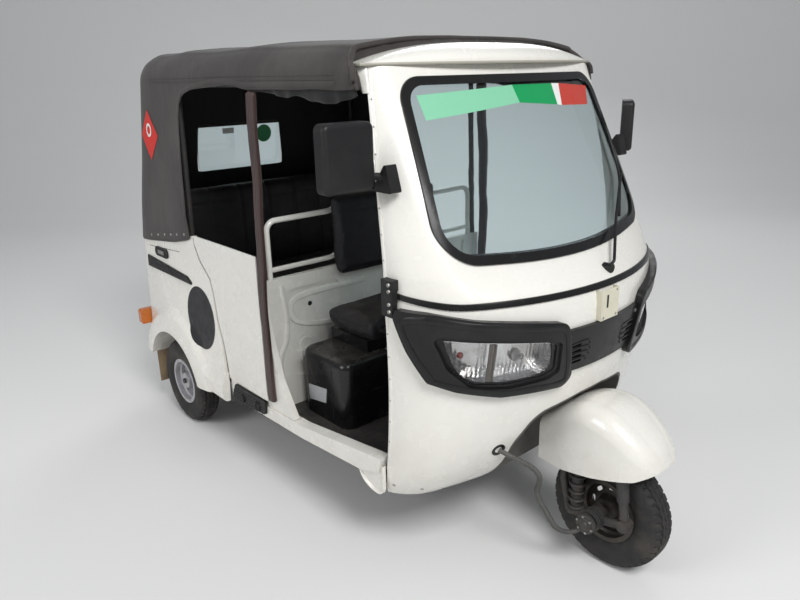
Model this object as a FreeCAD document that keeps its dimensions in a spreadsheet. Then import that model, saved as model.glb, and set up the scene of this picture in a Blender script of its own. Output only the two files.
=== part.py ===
import FreeCAD, Part
import Sketcher
import math
import os

# Three-wheeled auto rickshaw: one steered wheel in front, two wheels behind,
# an open cab with a canvas roof. Front faces -Y, +X is the vehicle's left,
# +Z is up. The origin is on the ground under the middle of the vehicle.
# Millimetres throughout.

V = FreeCAD.Vector
doc = FreeCAD.newDocument("auto_rickshaw")
sheet = doc.addObject("Spreadsheet::Sheet", "Sizes")

# Driving dimensions: name, value, meaning
SIZES = [
    ("front_axle_y", -1110, "front axle behind the origin"),
    ("wheelbase", 1985, "front axle to rear axle"),
    ("rear_track", 1150, "between the rear wheels' centre planes"),
    ("tyre_radius", 207, "outer radius of every tyre"),
    ("tyre_width", 102, "section width of every tyre"),
    ("rim_radius", 112, "outer radius of the rim flange"),
    ("rim_width", 84, "over the rim flanges"),
    ("rim_well", 92, "outer radius of the rim's well"),
    ("rim_sheet", 5, "thickness of the rim's sheet"),
    ("hub_radius", 46, "outer radius of a hub"),
    ("hub_length", 70, "length of a hub"),
    ("axle_radius", 12.5, "radius of each wheel spindle"),
    ("running_gap", 0.05, "radial gap between a spindle and its bore"),
    ("seat_gap", 0.3, "gap between two seated pieces"),
    ("cowl_wall", 18, "thickness of the front shell"),
    ("cowl_foot", 285, "height of the front shell's lower edge"),
    ("cowl_top", 1640, "height of the front shell's upper edge"),
    ("screen_foot", 1058, "height at which the windscreen frame's lower edges meet"),
    ("screen_bow", 38, "rise of the frame's lower edges to their ends"),
    ("screen_top", 1610, "height of the windscreen frame's upper edge"),
    ("screen_low_half", 520, "half width of the windscreen frame, low"),
    ("screen_high_half", 472, "half width of the windscreen frame, high"),
    ("screen_corner", 84, "corner radius of the windscreen frame, high"),
    ("screen_low_corner", 112, "corner radius of the windscreen frame, low"),
    ("seal_width", 26, "face width of the windscreen's rubber frame"),
    ("seal_rise", 6, "how far the rubber frame stands out"),
    ("glass_thickness", 5, "thickness of the windscreen"),
    ("belt_height", 984, "height of the black belt strip's centre"),
    ("belt_width", 17, "face width of the belt strip"),
    ("belt_rise", 5, "how far the belt strip stands out"),
    ("bezel_rise", 24, "how far a lamp surround stands out"),
    ("grille_rise", 12, "how far the nose grille stands out"),
    ("lamp_depth", 46, "depth of a lamp's bowl behind the body"),
    ("header_wall", 10, "thickness of the roof header"),
    ("sill_outer", 605, "half width over the sills"),
    ("sill_width", 45, "width of a sill"),
    ("floor_height", 330, "top of the floor"),
    ("floor_thickness", 16, "thickness of the floor"),
    ("rail_height", 56, "height of a chassis rail"),
    ("rail_width", 45, "width of a chassis rail"),
    ("rail_spread", 600, "between the chassis rails' centres"),
    ("bulkhead_y", 1180, "bulkhead's front face behind the front axle"),
    ("bulkhead_thickness", 22, "thickness of the bulkhead"),
    ("bulkhead_top", 876, "height of the bulkhead"),
    ("bulkhead_half", 574, "half width of the bulkhead"),
    ("body_low_half", 633, "half width of the rear body at its foot"),
    ("body_high_half", 611, "half width of the rear body at the canvas"),
    ("body_foot", 302, "height of the rear body's lower edge"),
    ("body_shoulder", 868, "height of the canvas's lower edge behind"),
    ("body_wall", 18, "thickness of the rear body's walls"),
    ("body_rear", 2372, "tail panel behind the front axle"),
    ("body_corner", 130, "radius of the body's rear corners seen from above"),
    ("canvas_corner", 208, "radius of the canopy's rear corners at the eaves"),
    ("arch_radius", 262, "radius of the rear wheel arches"),
    ("flare_width", 124, "radial width of the wheel arch flare"),
    ("flare_half", 662, "half width over the flares"),
    ("canvas_wall", 11, "thickness of the canvas with its lining"),
    ("canvas_high_half", 575, "half width of the canopy at its eaves"),
    ("canvas_high_rear", 2292, "canopy's back at the eaves, behind the axle"),
    ("eaves_height", 1592, "height of the eaves"),
    ("roof_height", 1740, "height of the roof"),
    ("roof_front", 567, "front edge of the canvas roof at the sides"),
    ("hoop_radius", 12, "radius of a roof hoop's tube"),
    ("window_half", 247, "half width of the rear window"),
    ("window_low", 1150, "height of the rear window's lower edge"),
    ("window_high", 1378, "height of the rear window's upper edge"),
    ("cover_half", 330, "half width of the engine cover"),
    ("cover_low", 372, "lower edge of the engine cover"),
    ("cover_high", 800, "upper edge of the engine cover"),
    ("cover_sheet", 8, "thickness of the engine cover"),
    ("rake", 20, "angle of the steering axis from upright"),
    ("rake_offset", 62, "steering axis behind the front axle at rake_level"),
    ("rake_level", 300, "height at which rake_offset is taken"),
    ("column_radius", 22, "radius of the steering column"),
    ("column_top", 950, "height of the column's upper end"),
    ("head_low", 655, "lower end of the steering head"),
    ("head_high", 880, "upper end of the steering head"),
    ("head_wall", 9, "wall of the steering head tube"),
    ("well_half", 296, "half width of the nose's wheel well"),
    ("well_top", 608, "height of the nose's wheel well"),
    ("well_back", 333, "back wall of the wheel well, behind the axle"),
    ("well_sheet", 8, "thickness of the wheel well's liner"),
    ("fender_wall", 5, "thickness of the front fender"),
    ("bar_half", 266, "half width of the handlebar"),
    ("bar_radius", 11, "radius of the handlebar's tube"),
    ("bar_sweep", 84, "how far the handlebar's ends lie behind its middle"),
    ("grip_radius", 17, "radius of a handlebar grip"),
    ("mirror_width", 172, "width of a mirror head"),
    ("mirror_height", 190, "height of a mirror head"),
    ("mirror_depth", 46, "depth of a mirror head"),
    ("mirror_half", 783, "half width over the mirrors"),
    ("mirror_sweep", 32, "angle by which the left mirror is swept back"),
    ("bench_height", 590, "top of the passengers' bench"),
    ("bench_sheet", 16, "thickness of the bench's panels"),
    ("bench_front", 1642, "bench's front behind the front axle"),
    ("bumper_radius", 15, "radius of the rear bumper's tube"),
]


class Size:
    """A length: its number, and the formula that ties it to the sheet."""

    def __init__(self, value, formula):
        self.value = float(value)
        self.formula = formula

    def join(self, sign, other, value):
        return Size(value, "(" + self.formula + " " + sign + " " + size(other).formula + ")")

    def __add__(self, other):
        return self.join("+", other, self.value + size(other).value)

    def __sub__(self, other):
        return self.join("-", other, self.value - size(other).value)

    def __mul__(self, other):
        return self.join("*", other, self.value * size(other).value)

    def __truediv__(self, other):
        return self.join("/", other, self.value / size(other).value)

    def __neg__(self):
        return Size(-self.value, "(0 - " + self.formula + ")")


def size(item):
    """The item as a Size."""
    if isinstance(item, Size):
        return item
    return Size(item, "(" + repr(float(item)) + ")")


S = {}
for row, (name, value, meaning) in enumerate(SIZES, start=1):
    sheet.set("A" + str(row), name)
    sheet.set("B" + str(row), str(value))
    sheet.set("C" + str(row), meaning)
    sheet.setAlias("B" + str(row), name)
    S[name] = Size(value, "Sizes." + name)
doc.recompute()


def mm(name):
    """The number in a cell."""
    return S[name].value


def back(distance):
    """Y of a point that lies this far behind the front axle."""
    return S["front_axle_y"] + distance


def yb(distance):
    """The same as a number."""
    return mm("front_axle_y") + float(distance)


pieces = []


def keep(item, label):
    """Lists a finished sub-part under its node name."""
    item.Label = label
    pieces.append(item)
    return item


def feature(label, shape, wanted=True):
    """A piece whose form is worked out below from the sheet's sizes."""
    item = doc.addObject("Part::Feature", label + "_form")
    item.Shape = shape
    item.Placement = FreeCAD.Placement()
    if wanted:
        keep(item, label)
    return item


def primitive(kind, name, sizes, place):
    """A Part primitive with its sizes and its corner or centre bound."""
    item = doc.addObject("Part::" + kind, name)
    for key, item_size in sizes.items():
        item_size = size(item_size)
        setattr(item, key, item_size.value)
        item.setExpression(key, item_size.formula)
    for axis, position in zip("xyz", place):
        position = size(position)
        item.setExpression("Placement.Base." + axis, position.formula)
    return item


def box(name, low, high):
    """A box between two corners."""
    spans = [size(b) - a for a, b in zip(low, high)]
    return primitive("Box", name, dict(zip(("Length", "Width", "Height"), spans)), low)


def across(item):
    """Turns a cylinder to lie along +X."""
    item.Placement = FreeCAD.Placement(item.Placement.Base, FreeCAD.Rotation(V(0, 1, 0), 90))
    return item


def fuse(name, parts):
    item = doc.addObject("Part::MultiFuse", name)
    item.Shapes = parts
    item.Refine = True
    return item


def cut(name, base, tool):
    item = doc.addObject("Part::Cut", name)
    item.Base = base
    item.Tool = tool
    return item


def mirrored_pair(label, item):
    """The piece and its mirror image in the middle plane, as one node."""
    doc.recompute()
    twin = doc.addObject("Part::Mirroring", label + "_twin")
    twin.Source = item
    twin.Normal = V(1, 0, 0)
    twin.Base = V(0, 0, 0)
    pair = doc.addObject("Part::Compound", label + "_pair")
    pair.Links = [item, twin]
    return keep(pair, label)


def origin_plane(body, role):
    for item in body.Origin.OriginFeatures:
        if item.Role == role:
            return item
    raise ValueError(role)


def outline_sketch(body, name, role, points, offset):
    """A closed outline of straight edges; every corner is tied to the sheet."""
    sketch = body.newObject("Sketcher::SketchObject", name)
    sketch.AttachmentSupport = [(origin_plane(body, role), "")]
    sketch.MapMode = "FlatFace"
    offset = size(offset)
    sketch.AttachmentOffset = FreeCAD.Placement(V(0, 0, offset.value), FreeCAD.Rotation())
    sketch.setExpression("AttachmentOffset.Base.z", offset.formula)
    points = [(size(a), size(b)) for a, b in points]
    count = len(points)
    for i in range(count):
        a, b = points[i], points[(i + 1) % count]
        sketch.addGeometry(Part.LineSegment(V(a[0].value, a[1].value, 0), V(b[0].value, b[1].value, 0)))
    for i in range(count):
        sketch.addConstraint(Sketcher.Constraint("Coincident", i, 2, (i + 1) % count, 1))
    for i, (a, b) in enumerate(points):
        for kind, tag, value in (("DistanceX", "x", a), ("DistanceY", "y", b)):
            index = sketch.addConstraint(Sketcher.Constraint(kind, -1, 1, i, 1, value.value))
            sketch.renameConstraint(index, tag + str(i))
            sketch.setExpression("Constraints." + tag + str(i), value.formula)
    return sketch


def padded(name, role, points, low, high):
    """A body padded from an outline, between two planes along its normal."""
    body = doc.addObject("PartDesign::Body", name)
    low, high = size(low), size(high)
    start = -high if role == "XZ_Plane" else low
    sketch = outline_sketch(body, name + "_outline", role, points, start)
    pad = body.newObject("PartDesign::Pad", name + "_pad")
    pad.Profile = sketch
    pad.Length = (high - low).value
    pad.setExpression("Length", (high - low).formula)
    doc.recompute()
    return body


def pocketed(body, name, role, points, low, high):
    """Cuts the outline out of the body between two planes along its normal."""
    low, high = size(low), size(high)
    before = body.Shape.Volume
    start = -high if role == "XZ_Plane" else low
    sketch = outline_sketch(body, name + "_outline", role, points, start)
    pocket = body.newObject("PartDesign::Pocket", name)
    pocket.Profile = sketch
    pocket.Length = (high - low).value
    pocket.setExpression("Length", (high - low).formula)
    pocket.Reversed = True
    doc.recompute()
    if body.Shape.Volume > before - 1:
        raise ValueError(name + " cuts nothing")
    return body


def rounded(body, name, radius, wanted):
    """Fillets the body's edges that the test picks."""
    base = body.Tip
    names = ["Edge" + str(i + 1) for i, e in enumerate(base.Shape.Edges) if wanted(e)]
    fillet = body.newObject("PartDesign::Fillet", name)
    fillet.Base = (base, names)
    radius = size(radius)
    fillet.Radius = radius.value
    fillet.setExpression("Radius", radius.formula)
    doc.recompute()
    return body


def runs_along(axis):
    """A test for straight edges along X, Y or Z."""
    def wanted(edge):
        if len(edge.Vertexes) != 2:
            return False
        step = edge.Vertexes[1].Point - edge.Vertexes[0].Point
        step = [abs(step.x), abs(step.y), abs(step.z)]
        return step[axis] > 0.999 * sum(step) and edge.Curve.TypeId == "Part::GeomLine"
    return wanted


def revolved(name, points, centre):
    """A body of revolution about a line along X; points are (x, radius)."""
    body = doc.addObject("PartDesign::Body", name)
    sketch = outline_sketch(body, name + "_outline", "XZ_Plane", points, 0)
    turn = body.newObject("PartDesign::Revolution", name + "_turn")
    turn.Profile = sketch
    turn.ReferenceAxis = (sketch, ["H_Axis"])
    turn.Angle = 360
    doc.recompute()
    for axis, position in zip("xyz", centre):
        body.setExpression("Placement.Base." + axis, size(position).formula)
    return body


def polygon(points, radii):
    """Straight runs joined by tangent arcs, closed, from 2-D points."""
    count = len(points)
    if isinstance(radii, (int, float)):
        radii = [radii] * count
    ends = []
    for i in range(count):
        p, a, b = (V(points[k % count][0], points[k % count][1], 0) for k in (i, i - 1, i + 1))
        if radii[i] <= 0:
            ends.append((p, p, None))
            continue
        u = (a - p).normalize()
        w = (b - p).normalize()
        half = math.acos(max(-1.0, min(1.0, u.dot(w)))) / 2
        reach = radii[i] / math.tan(half)
        middle = p + (u + w).normalize() * (radii[i] / math.sin(half) - radii[i])
        ends.append((p + u * reach, p + w * reach, middle))
    edges = []
    for i in range(count):
        first, last, middle = ends[i]
        if middle is not None:
            edges.append(Part.Arc(first, middle, last).toShape())
        following = ends[(i + 1) % count][0]
        if (following - last).Length > 1e-4:
            edges.append(Part.LineSegment(last, following).toShape())
    return Part.Wire(edges)


def prism(points, radii, plane, low, high):
    """The outline extruded: plane xz runs along Y, yz along X, xy along Z."""
    face = Part.Face(polygon(points, radii))
    if plane == "xz":
        face.rotate(V(0, 0, 0), V(1, 0, 0), 90)
        face.translate(V(0, low, 0))
        return face.extrude(V(0, high - low, 0))
    if plane == "yz":
        face.rotate(V(0, 0, 0), V(1, 1, 1), 120)
        face.translate(V(low, 0, 0))
        return face.extrude(V(high - low, 0, 0))
    face.translate(V(0, 0, low))
    return face.extrude(V(0, 0, high - low))


def side_prism(points, radii, low, high):
    """A prism along X from points given as (behind the axle, height)."""
    return prism([(yb(a), b) for a, b in points], radii, "yz", low, high)


def mirror(shape):
    return shape.mirror(V(0, 0, 0), V(1, 0, 0))


def both(shape):
    return Part.makeCompound([shape, mirror(shape)])


def solid(shape):
    """The single solid of a boolean's result."""
    found = shape.Solids
    if len(found) != 1:
        raise ValueError("expected one solid, found " + str(len(found)))
    return found[0]


def tube(points, bends, radius):
    """A round bar along straight runs joined by tangent arcs."""
    points = [V(*p) for p in points]
    edges = []
    start = points[0]
    for i in range(1, len(points) - 1):
        p, a, b = points[i], points[i - 1], points[i + 1]
        u = (a - p).normalize()
        w = (b - p).normalize()
        bend = bends[i - 1] if isinstance(bends, (list, tuple)) else bends
        half = math.acos(max(-1.0, min(1.0, u.dot(w)))) / 2
        reach = bend / math.tan(half)
        first, last = p + u * reach, p + w * reach
        middle = p + (u + w).normalize() * (bend / math.sin(half) - bend)
        if (first - start).Length > 1e-4:
            edges.append(Part.LineSegment(start, first).toShape())
        edges.append(Part.Arc(first, middle, last).toShape())
        start = last
    edges.append(Part.LineSegment(start, points[-1]).toShape())
    path = Part.Wire(edges)
    ring = Part.Wire(Part.makeCircle(radius, points[0], points[1] - points[0]))
    return solid(path.makePipeShell([ring], True, True))


# The front shell: sections seen from above, from the foot to the top
COWL_COLUMNS = ("height", "front", "half", "corner", "crown")
COWL_SECTIONS = [
    (285, 322, 584, 180, 1600),
    (430, 176, 588, 230, 1250),
    (600, 112, 592, 280, 1000),
    (740, 84, 595, 300, 900),
    (870, 67, 597, 300, 900),
    (989, 77, 596, 300, 900),
    (1060, 172, 592, 180, 1430),
    (1640, 492, 573, 130, 2400),
]
COWL_REAR = 640


def cowl_section(row, offset, height=None):
    """One section of the front shell, moved outwards by the offset."""
    data = dict(zip(COWL_COLUMNS, row))
    z = data["height"] if height is None else height
    half = data["half"] + offset
    corner = data["corner"] + offset
    crown = data["crown"] + offset
    front = yb(data["front"]) - offset
    centre = front + crown
    rise = math.sqrt((crown - corner) ** 2 - (half - corner) ** 2)
    corner_y = centre - rise
    joint_x = (half - corner) * crown / (crown - corner)
    joint_y = centre - rise * crown / (crown - corner)
    lean = math.atan2(half - corner, rise)
    mid = (math.pi / 2 + lean) / 2
    mid_x = half - corner + corner * math.sin(mid)
    mid_y = corner_y - corner * math.cos(mid)
    rear = yb(COWL_REAR) + 40
    right = [V(-half, rear, z), V(-half, corner_y, z), V(-mid_x, mid_y, z), V(-joint_x, joint_y, z)]
    left = [V(-p.x, p.y, z) for p in right]
    return Part.Wire([
        Part.LineSegment(left[0], right[0]).toShape(),
        Part.LineSegment(right[0], right[1]).toShape(),
        Part.Arc(right[1], right[2], right[3]).toShape(),
        Part.Arc(right[3], V(0, front, z), left[3]).toShape(),
        Part.Arc(left[3], left[2], left[1]).toShape(),
        Part.LineSegment(left[1], left[0]).toShape(),
    ])


def between(row_low, row_high, height):
    """A section's numbers part of the way between two rows."""
    share = (height - row_low[0]) / (row_high[0] - row_low[0])
    return tuple(a + (b - a) * share for a, b in zip(row_low, row_high))


def nose_solid(offset):
    """The front shell's form below the belt line."""
    rows = COWL_SECTIONS[:6]
    return Part.makeLoft([cowl_section(row, offset) for row in rows], True, False)


def screen_solid(offset):
    """The front shell's form above the belt line: the shelf and the windscreen."""
    rows = COWL_SECTIONS[5:]
    return Part.makeLoft([cowl_section(row, offset) for row in rows], True, True)


def extended_nose(offset):
    """The nose form carried on below the foot, for hollowing."""
    low = COWL_SECTIONS[0]
    under = cowl_section(low, offset, low[0] - 60)
    return nose_solid(offset).fuse(Part.makeLoft([under, cowl_section(low, offset)], True, True))


def skin(form, outer, inner):
    """A layer that follows the front shell between two offsets."""
    return form(outer).cut(form(inner))


def door_front(height):
    """The doorway's front edge, behind the front axle, at a height."""
    return DOOR_CENTRE[0] - math.sqrt(DOOR_RADIUS ** 2 - (height - DOOR_CENTRE[1]) ** 2)


def circle_through(a, b, c):
    arc = Part.Arc(V(a[0], a[1], 0), V(b[0], b[1], 0), V(c[0], c[1], 0)).toShape().Curve
    return (arc.Center.x, arc.Center.y), arc.Radius


# Doorway's front edge in side view: foot, middle, top
DOOR_CENTRE, DOOR_RADIUS = circle_through((492, 285), (444, 860), (576, 1640))


def door_cutter(extra):
    """Everything behind the doorway's front edge."""
    centre = V(yb(DOOR_CENTRE[0]), DOOR_CENTRE[1], 0)
    low, high = 150, 1760
    def edge_point(height):
        reach = (DOOR_RADIUS - extra) ** 2 - (height - DOOR_CENTRE[1]) ** 2
        return V(centre.x - math.sqrt(reach), height, 0)
    points = [edge_point(low), edge_point((low + high) / 2), edge_point(high)]
    far = yb(DOOR_CENTRE[0])
    edges = [
        Part.Arc(points[0], points[1], points[2]).toShape(),
        Part.LineSegment(points[2], V(far, high, 0)).toShape(),
        Part.LineSegment(V(far, high, 0), V(far, low, 0)).toShape(),
        Part.LineSegment(V(far, low, 0), points[0]).toShape(),
    ]
    face = Part.Face(Part.Wire(edges))
    face.rotate(V(0, 0, 0), V(1, 1, 1), 120)
    face.translate(V(-900, 0, 0))
    return face.extrude(V(1800, 0, 0))


# The steering axis
RAKE = math.radians(mm("rake"))
STEER_DIR = V(0, math.sin(RAKE), math.cos(RAKE))


def steer_point(height):
    """The steering axis at a height."""
    run = (height - mm("rake_level")) * math.tan(RAKE)
    return V(0, yb(mm("rake_offset")) + run, height)


def steer_bar(radius, low, high):
    """A round bar along the steering axis between two heights."""
    a, b = steer_point(low), steer_point(high)
    return Part.makeCylinder(radius, (b - a).Length, a, STEER_DIR)


# Height of the chassis rails
RAIL_TOP = S["floor_height"] - S["floor_thickness"]
RAIL_LOW = RAIL_TOP - S["rail_height"]


def head_stays(radius):
    """The tubes from the front cross-member up to the steering head."""
    foot_y = yb(520)
    stays = []
    for side in (-1, 1):
        low = (side * 150, foot_y, RAIL_TOP.value - 12)
        for level in (mm("head_low") + 30, mm("head_high") - 30):
            top = steer_point(level)
            middle = (side * 40, (foot_y + top.y) / 2 + 70, (low[2] + level) / 2 + 92)
            stays.append(tube([low, middle, (0, top.y + 8, level)], 60, radius))
    return stays


def wheel_well(grow):
    """The room in the nose for the steered fender: an arch seen from ahead."""
    half, top = mm("well_half") + grow, mm("well_top") + grow
    points = [(-half, 150), (half, 150), (half, top - 128), (half - 61, top - 26), (60, top), (-60, top),
              (61 - half, top - 26), (-half, top - 128)]
    bends = [0, 0, 90, 110, 200, 200, 110, 90]
    return prism(points, bends, "xz", yb(-300), yb(mm("well_back")) + grow)


def screen_outline(grow):
    """The windscreen frame's outline, front view, moved outwards."""
    low, high = mm("screen_foot") - grow, mm("screen_top") + grow
    wide, narrow = mm("screen_low_half") + grow, mm("screen_high_half") + grow
    corner, low_corner = mm("screen_corner") + grow, mm("screen_low_corner") + grow
    side = low + mm("screen_bow")
    points = [(-wide, side), (0, low), (wide, side), (narrow, high), (-narrow, high)]
    return points, [low_corner, 4000, low_corner, corner, corner]


def screen_prism(grow):
    points, corner = screen_outline(grow)
    return prism(points, corner, "xz", yb(-100), yb(700))


# Lamp surround, front view (x to the vehicle's right taken as positive)
BEZEL = [(680, 968), (560, 968), (470, 948), (300, 922), (205, 905), (160, 715), (185, 684),
         (400, 694), (520, 726), (680, 800)]
BEZEL_BENDS = [0, 30, 60, 60, 38, 30, 40, 60, 60, 0]
# Its rear end, side view (behind the axle, height)
BEZEL_END = [(-50, 640), (215, 640), (300, 760), (350, 846), (392, 940), (378, 990), (-50, 990)]
BEZEL_END_BENDS = [0, 0, 60, 60, 20, 0, 0]
LAMP = [(564, 894), (440, 878), (268, 852), (232, 838), (226, 752), (262, 738), (378, 732),
        (478, 746), (532, 802)]
LAMP_BENDS = [18, 60, 40, 12, 14, 40, 60, 24, 40]


def bezel_prism():
    front = prism([(-a, b) for a, b in BEZEL], BEZEL_BENDS, "xz", yb(-60), yb(420))
    end = side_prism(BEZEL_END, BEZEL_END_BENDS, -700, -100)
    return front.common(end)


def lamp_prism(grow=0.0):
    """The lamp's opening, front view; it widens by the given share."""
    points = [(-a - grow * (a - 390), b + grow * 2.3 * (b - 812)) for a, b in LAMP]
    return prism(points, LAMP_BENDS, "xz", yb(-60), yb(420))


def build_front():
    """The front shell and what is set in it."""
    lamp = lamp_prism()
    lamps = [lamp, mirror(lamp)]
    shell = nose_solid(0).fuse(screen_solid(0))
    wall = mm("cowl_wall")
    room = extended_nose(-wall).fuse(screen_solid(-wall))
    top = Part.makeBox(1400, 900, 60, V(-700, yb(0), mm("cowl_top") - 22))
    hollow = room.fuse(top.common(screen_solid(-wall)))
    shell = shell.cut(hollow).cut(door_cutter(0)).cut(screen_prism(-7))
    sheet_wall = mm("well_sheet")
    well = wheel_well(sheet_wall + 0.1)
    shell = shell.cut(well)
    liner = wheel_well(sheet_wall).cut(wheel_well(0)).common(extended_nose(-0.5))
    liner = liner.cut(Part.makeBox(1200, 600, 200, V(-600, yb(0), mm("cowl_foot") - 200)))
    liner = liner.cut(steer_bar(mm("column_radius") + mm("head_wall") + 1.5, 500, 700))
    for stay in head_stays(15.5):
        liner = liner.cut(stay)
    feature("wheel_well", solid(liner))
    for form in lamps:
        shell = shell.cut(form)
    feature("cowl", solid(shell))

    seal_in = -mm("seal_width")
    front = screen_solid(mm("seal_rise")).cut(screen_solid(-12))
    ring = front.common(screen_prism(0)).cut(screen_prism(seal_in))
    ring = ring.cut(skin(screen_solid, 0, -wall).cut(screen_prism(-7)))
    glass = screen_solid(-2).cut(screen_solid(-2 - mm("glass_thickness")))
    glass = glass.common(screen_prism(seal_in + 6))
    feature("windshield_seal", solid(ring.cut(glass)))
    feature("windshield", solid(glass))

    half = mm("belt_width") / 2
    level = mm("belt_height")
    strip = side_prism([(40, level - half), (240, level - half), (460, level - half + 26),
                        (460, level + half + 26), (240, level + half), (40, level + half)],
                       [0, 400, 0, 0, 400, 0], -640, 640)
    belt = skin(nose_solid, mm("belt_rise"), 0).fuse(skin(screen_solid, mm("belt_rise"), 0))
    belt = belt.common(strip).cut(door_cutter(50))
    feature("belt_moulding", solid(belt))

    surround = bezel_prism()
    raised = skin(nose_solid, mm("bezel_rise"), 0).common(surround).cut(lamp)
    raised = raised.cut(skin(nose_solid, 60, 15).common(lamp_prism(0.07))).cut(strip)
    feature("lamp_bezels", both(solid(raised)))
    lens = skin(nose_solid, 9, 4).common(lamp)
    feature("headlamp_lenses", both(solid(lens)))
    depth = mm("lamp_depth")
    bowl = skin(nose_solid, 4, -depth).common(lamp)
    bowl = bowl.cut(skin(nose_solid, 5, -depth + 5).common(lamp_prism(-0.034)))
    feature("lamp_bowls", both(solid(bowl)))

    middle = prism([(-230, 872), (-230, 726), (230, 726), (230, 872)], 0, "xz", yb(-60), yb(420))
    bar = skin(nose_solid, mm("grille_rise"), 0).common(middle)
    bar = bar.cut(surround).cut(mirror(surround))
    slots = []
    for row in range(4):
        z = 752 + row * 19
        for side in (-1, 1):
            x = 118 + 4 * row
            outline = [(side * x, z), (side * (x + 52), z), (side * (x + 54), z + 9), (side * (x - 2), z + 9)]
            slots.append(prism(outline, 0, "xz", yb(-60), yb(200)))
    groove = skin(nose_solid, 40, 4)
    for slot in slots:
        bar = bar.cut(slot.common(groove))
    feature("nose_grille", solid(bar))


build_front()

# The plate's bracket on the nose: right and left edge, foot and top
BRACKET = (-62, 30, 876, 972)


def build_bracket():
    """A folded sheet bracket with a flat face for a plate."""
    right, left, foot, top = BRACKET
    face, sheet_wall = yb(50), 3
    shape = Part.makeBox(left - right, sheet_wall, top - foot, V(right, face, foot))
    for x in (right, left - sheet_wall):
        shape = shape.fuse(Part.makeBox(sheet_wall, 60, top - foot, V(x, face, foot)))
    feature("plate_bracket", solid(shape.cut(nose_solid(0)).cut(extended_nose(-1))))


build_bracket()


def header_section(height, front, half, sag, rear, offset):
    """A section of the roof header: a bowed front edge and straight sides."""
    y0 = yb(front) - offset
    z = height
    x = half + offset
    y1 = y0 + sag
    y2 = yb(rear)
    return Part.Wire([
        Part.Arc(V(-x, y1, z), V(0, y0, z), V(x, y1, z)).toShape(),
        Part.LineSegment(V(x, y1, z), V(x, y2, z)).toShape(),
        Part.LineSegment(V(x, y2, z), V(-x, y2, z)).toShape(),
        Part.LineSegment(V(-x, y2, z), V(-x, y1, z)).toShape(),
    ])


# Roof header: height, front edge, half width, sag of the edge
HEADER_SECTIONS = [(1646, 462, 560, 112), (1672, 474, 552, 110), (1698, 520, 520, 96), (1715, 592, 455, 62)]


def header_form(offset):
    rows = [header_section(z, front, half, sag, 690, offset) for z, front, half, sag in HEADER_SECTIONS]
    return Part.makeLoft(rows, True, False)


def build_header():
    wall = mm("header_wall")
    outer = header_form(0)
    inner = header_form(-wall)
    inner.translate(V(0, 0, -wall))
    dome = outer.cut(inner)
    lip_row = HEADER_SECTIONS[0]
    lip = Part.Face(header_section(lip_row[0] - 6, lip_row[1], lip_row[2], lip_row[3], 690, 0))
    lip = lip.extrude(V(0, 0, 6))
    hole = Part.Face(header_section(lip_row[0] - 7, 500, 520, 40, 640, 0)).extrude(V(0, 0, 8))
    header = dome.fuse(lip.cut(hole)).cut(Part.makeBox(1400, 200, 200, V(-700, yb(652), 1600)))
    feature("roof_header", solid(header))


build_header()


# Rear body and canopy: sections seen from above
def shell_section(height, half, rear, corner, offset):
    """Straight sides, a straight back and round rear corners."""
    x = half + offset
    y = yb(rear) + offset
    r = corner + offset
    k = math.sqrt(0.5)
    y0 = yb(560)
    z = height
    return Part.Wire([
        Part.LineSegment(V(-x, y0, z), V(-x, y - r, z)).toShape(),
        Part.Arc(V(-x, y - r, z), V(-x + r - r * k, y - r + r * k, z), V(-x + r, y, z)).toShape(),
        Part.LineSegment(V(-x + r, y, z), V(x - r, y, z)).toShape(),
        Part.Arc(V(x - r, y, z), V(x - r + r * k, y - r + r * k, z), V(x, y - r, z)).toShape(),
        Part.LineSegment(V(x, y - r, z), V(x, y0, z)).toShape(),
        Part.LineSegment(V(x, y0, z), V(-x, y0, z)).toShape(),
    ])


def body_half(height):
    """The rear body's half width at a height."""
    low, high = mm("body_foot"), mm("body_shoulder")
    share = (height - low) / (high - low)
    return mm("body_low_half") + (mm("body_high_half") - mm("body_low_half")) * share


def body_form(offset, low, high):
    """The rear body's form between two heights."""
    rear = mm("body_rear")
    rows = [shell_section(z, body_half(z), rear, mm("body_corner"), offset) for z in (low, high)]
    return Part.makeLoft(rows, True, True)


def canopy_wall_form(offset, low, high):
    """The canopy's side and rear walls, which lean in towards the eaves."""
    foot, top = mm("body_shoulder"), mm("eaves_height")
    def at(z):
        share = (z - foot) / (top - foot)
        half = mm("body_high_half") + (mm("canvas_high_half") - mm("body_high_half")) * share
        rear = mm("body_rear") + (mm("canvas_high_rear") - mm("body_rear")) * share
        corner = mm("body_corner") + (mm("canvas_corner") - mm("body_corner")) * share
        return shell_section(z, half, rear, corner, offset)
    return Part.makeLoft([at(low), at(high)], True, True)


# The rear body's front edge, side view (behind the axle, height)
BODY_FRONT = [(1500, 277), (1503, 379), (1525, 532), (1557, 633), (1569, 738), (1590, 805), (1667, 869),
              (1708, 933), (1712, 975)]
BODY_TOP = [(1920, 938), (2206, 905), (2460, 896)]
BODY_FOOT = [(2460, 302), (2240, 302), (1700, 277)]
BODY_BENDS = [0, 40, 200, 100, 60, 50, 90, 40, 0, 0, 0, 0, 0, 60, 0]


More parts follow.
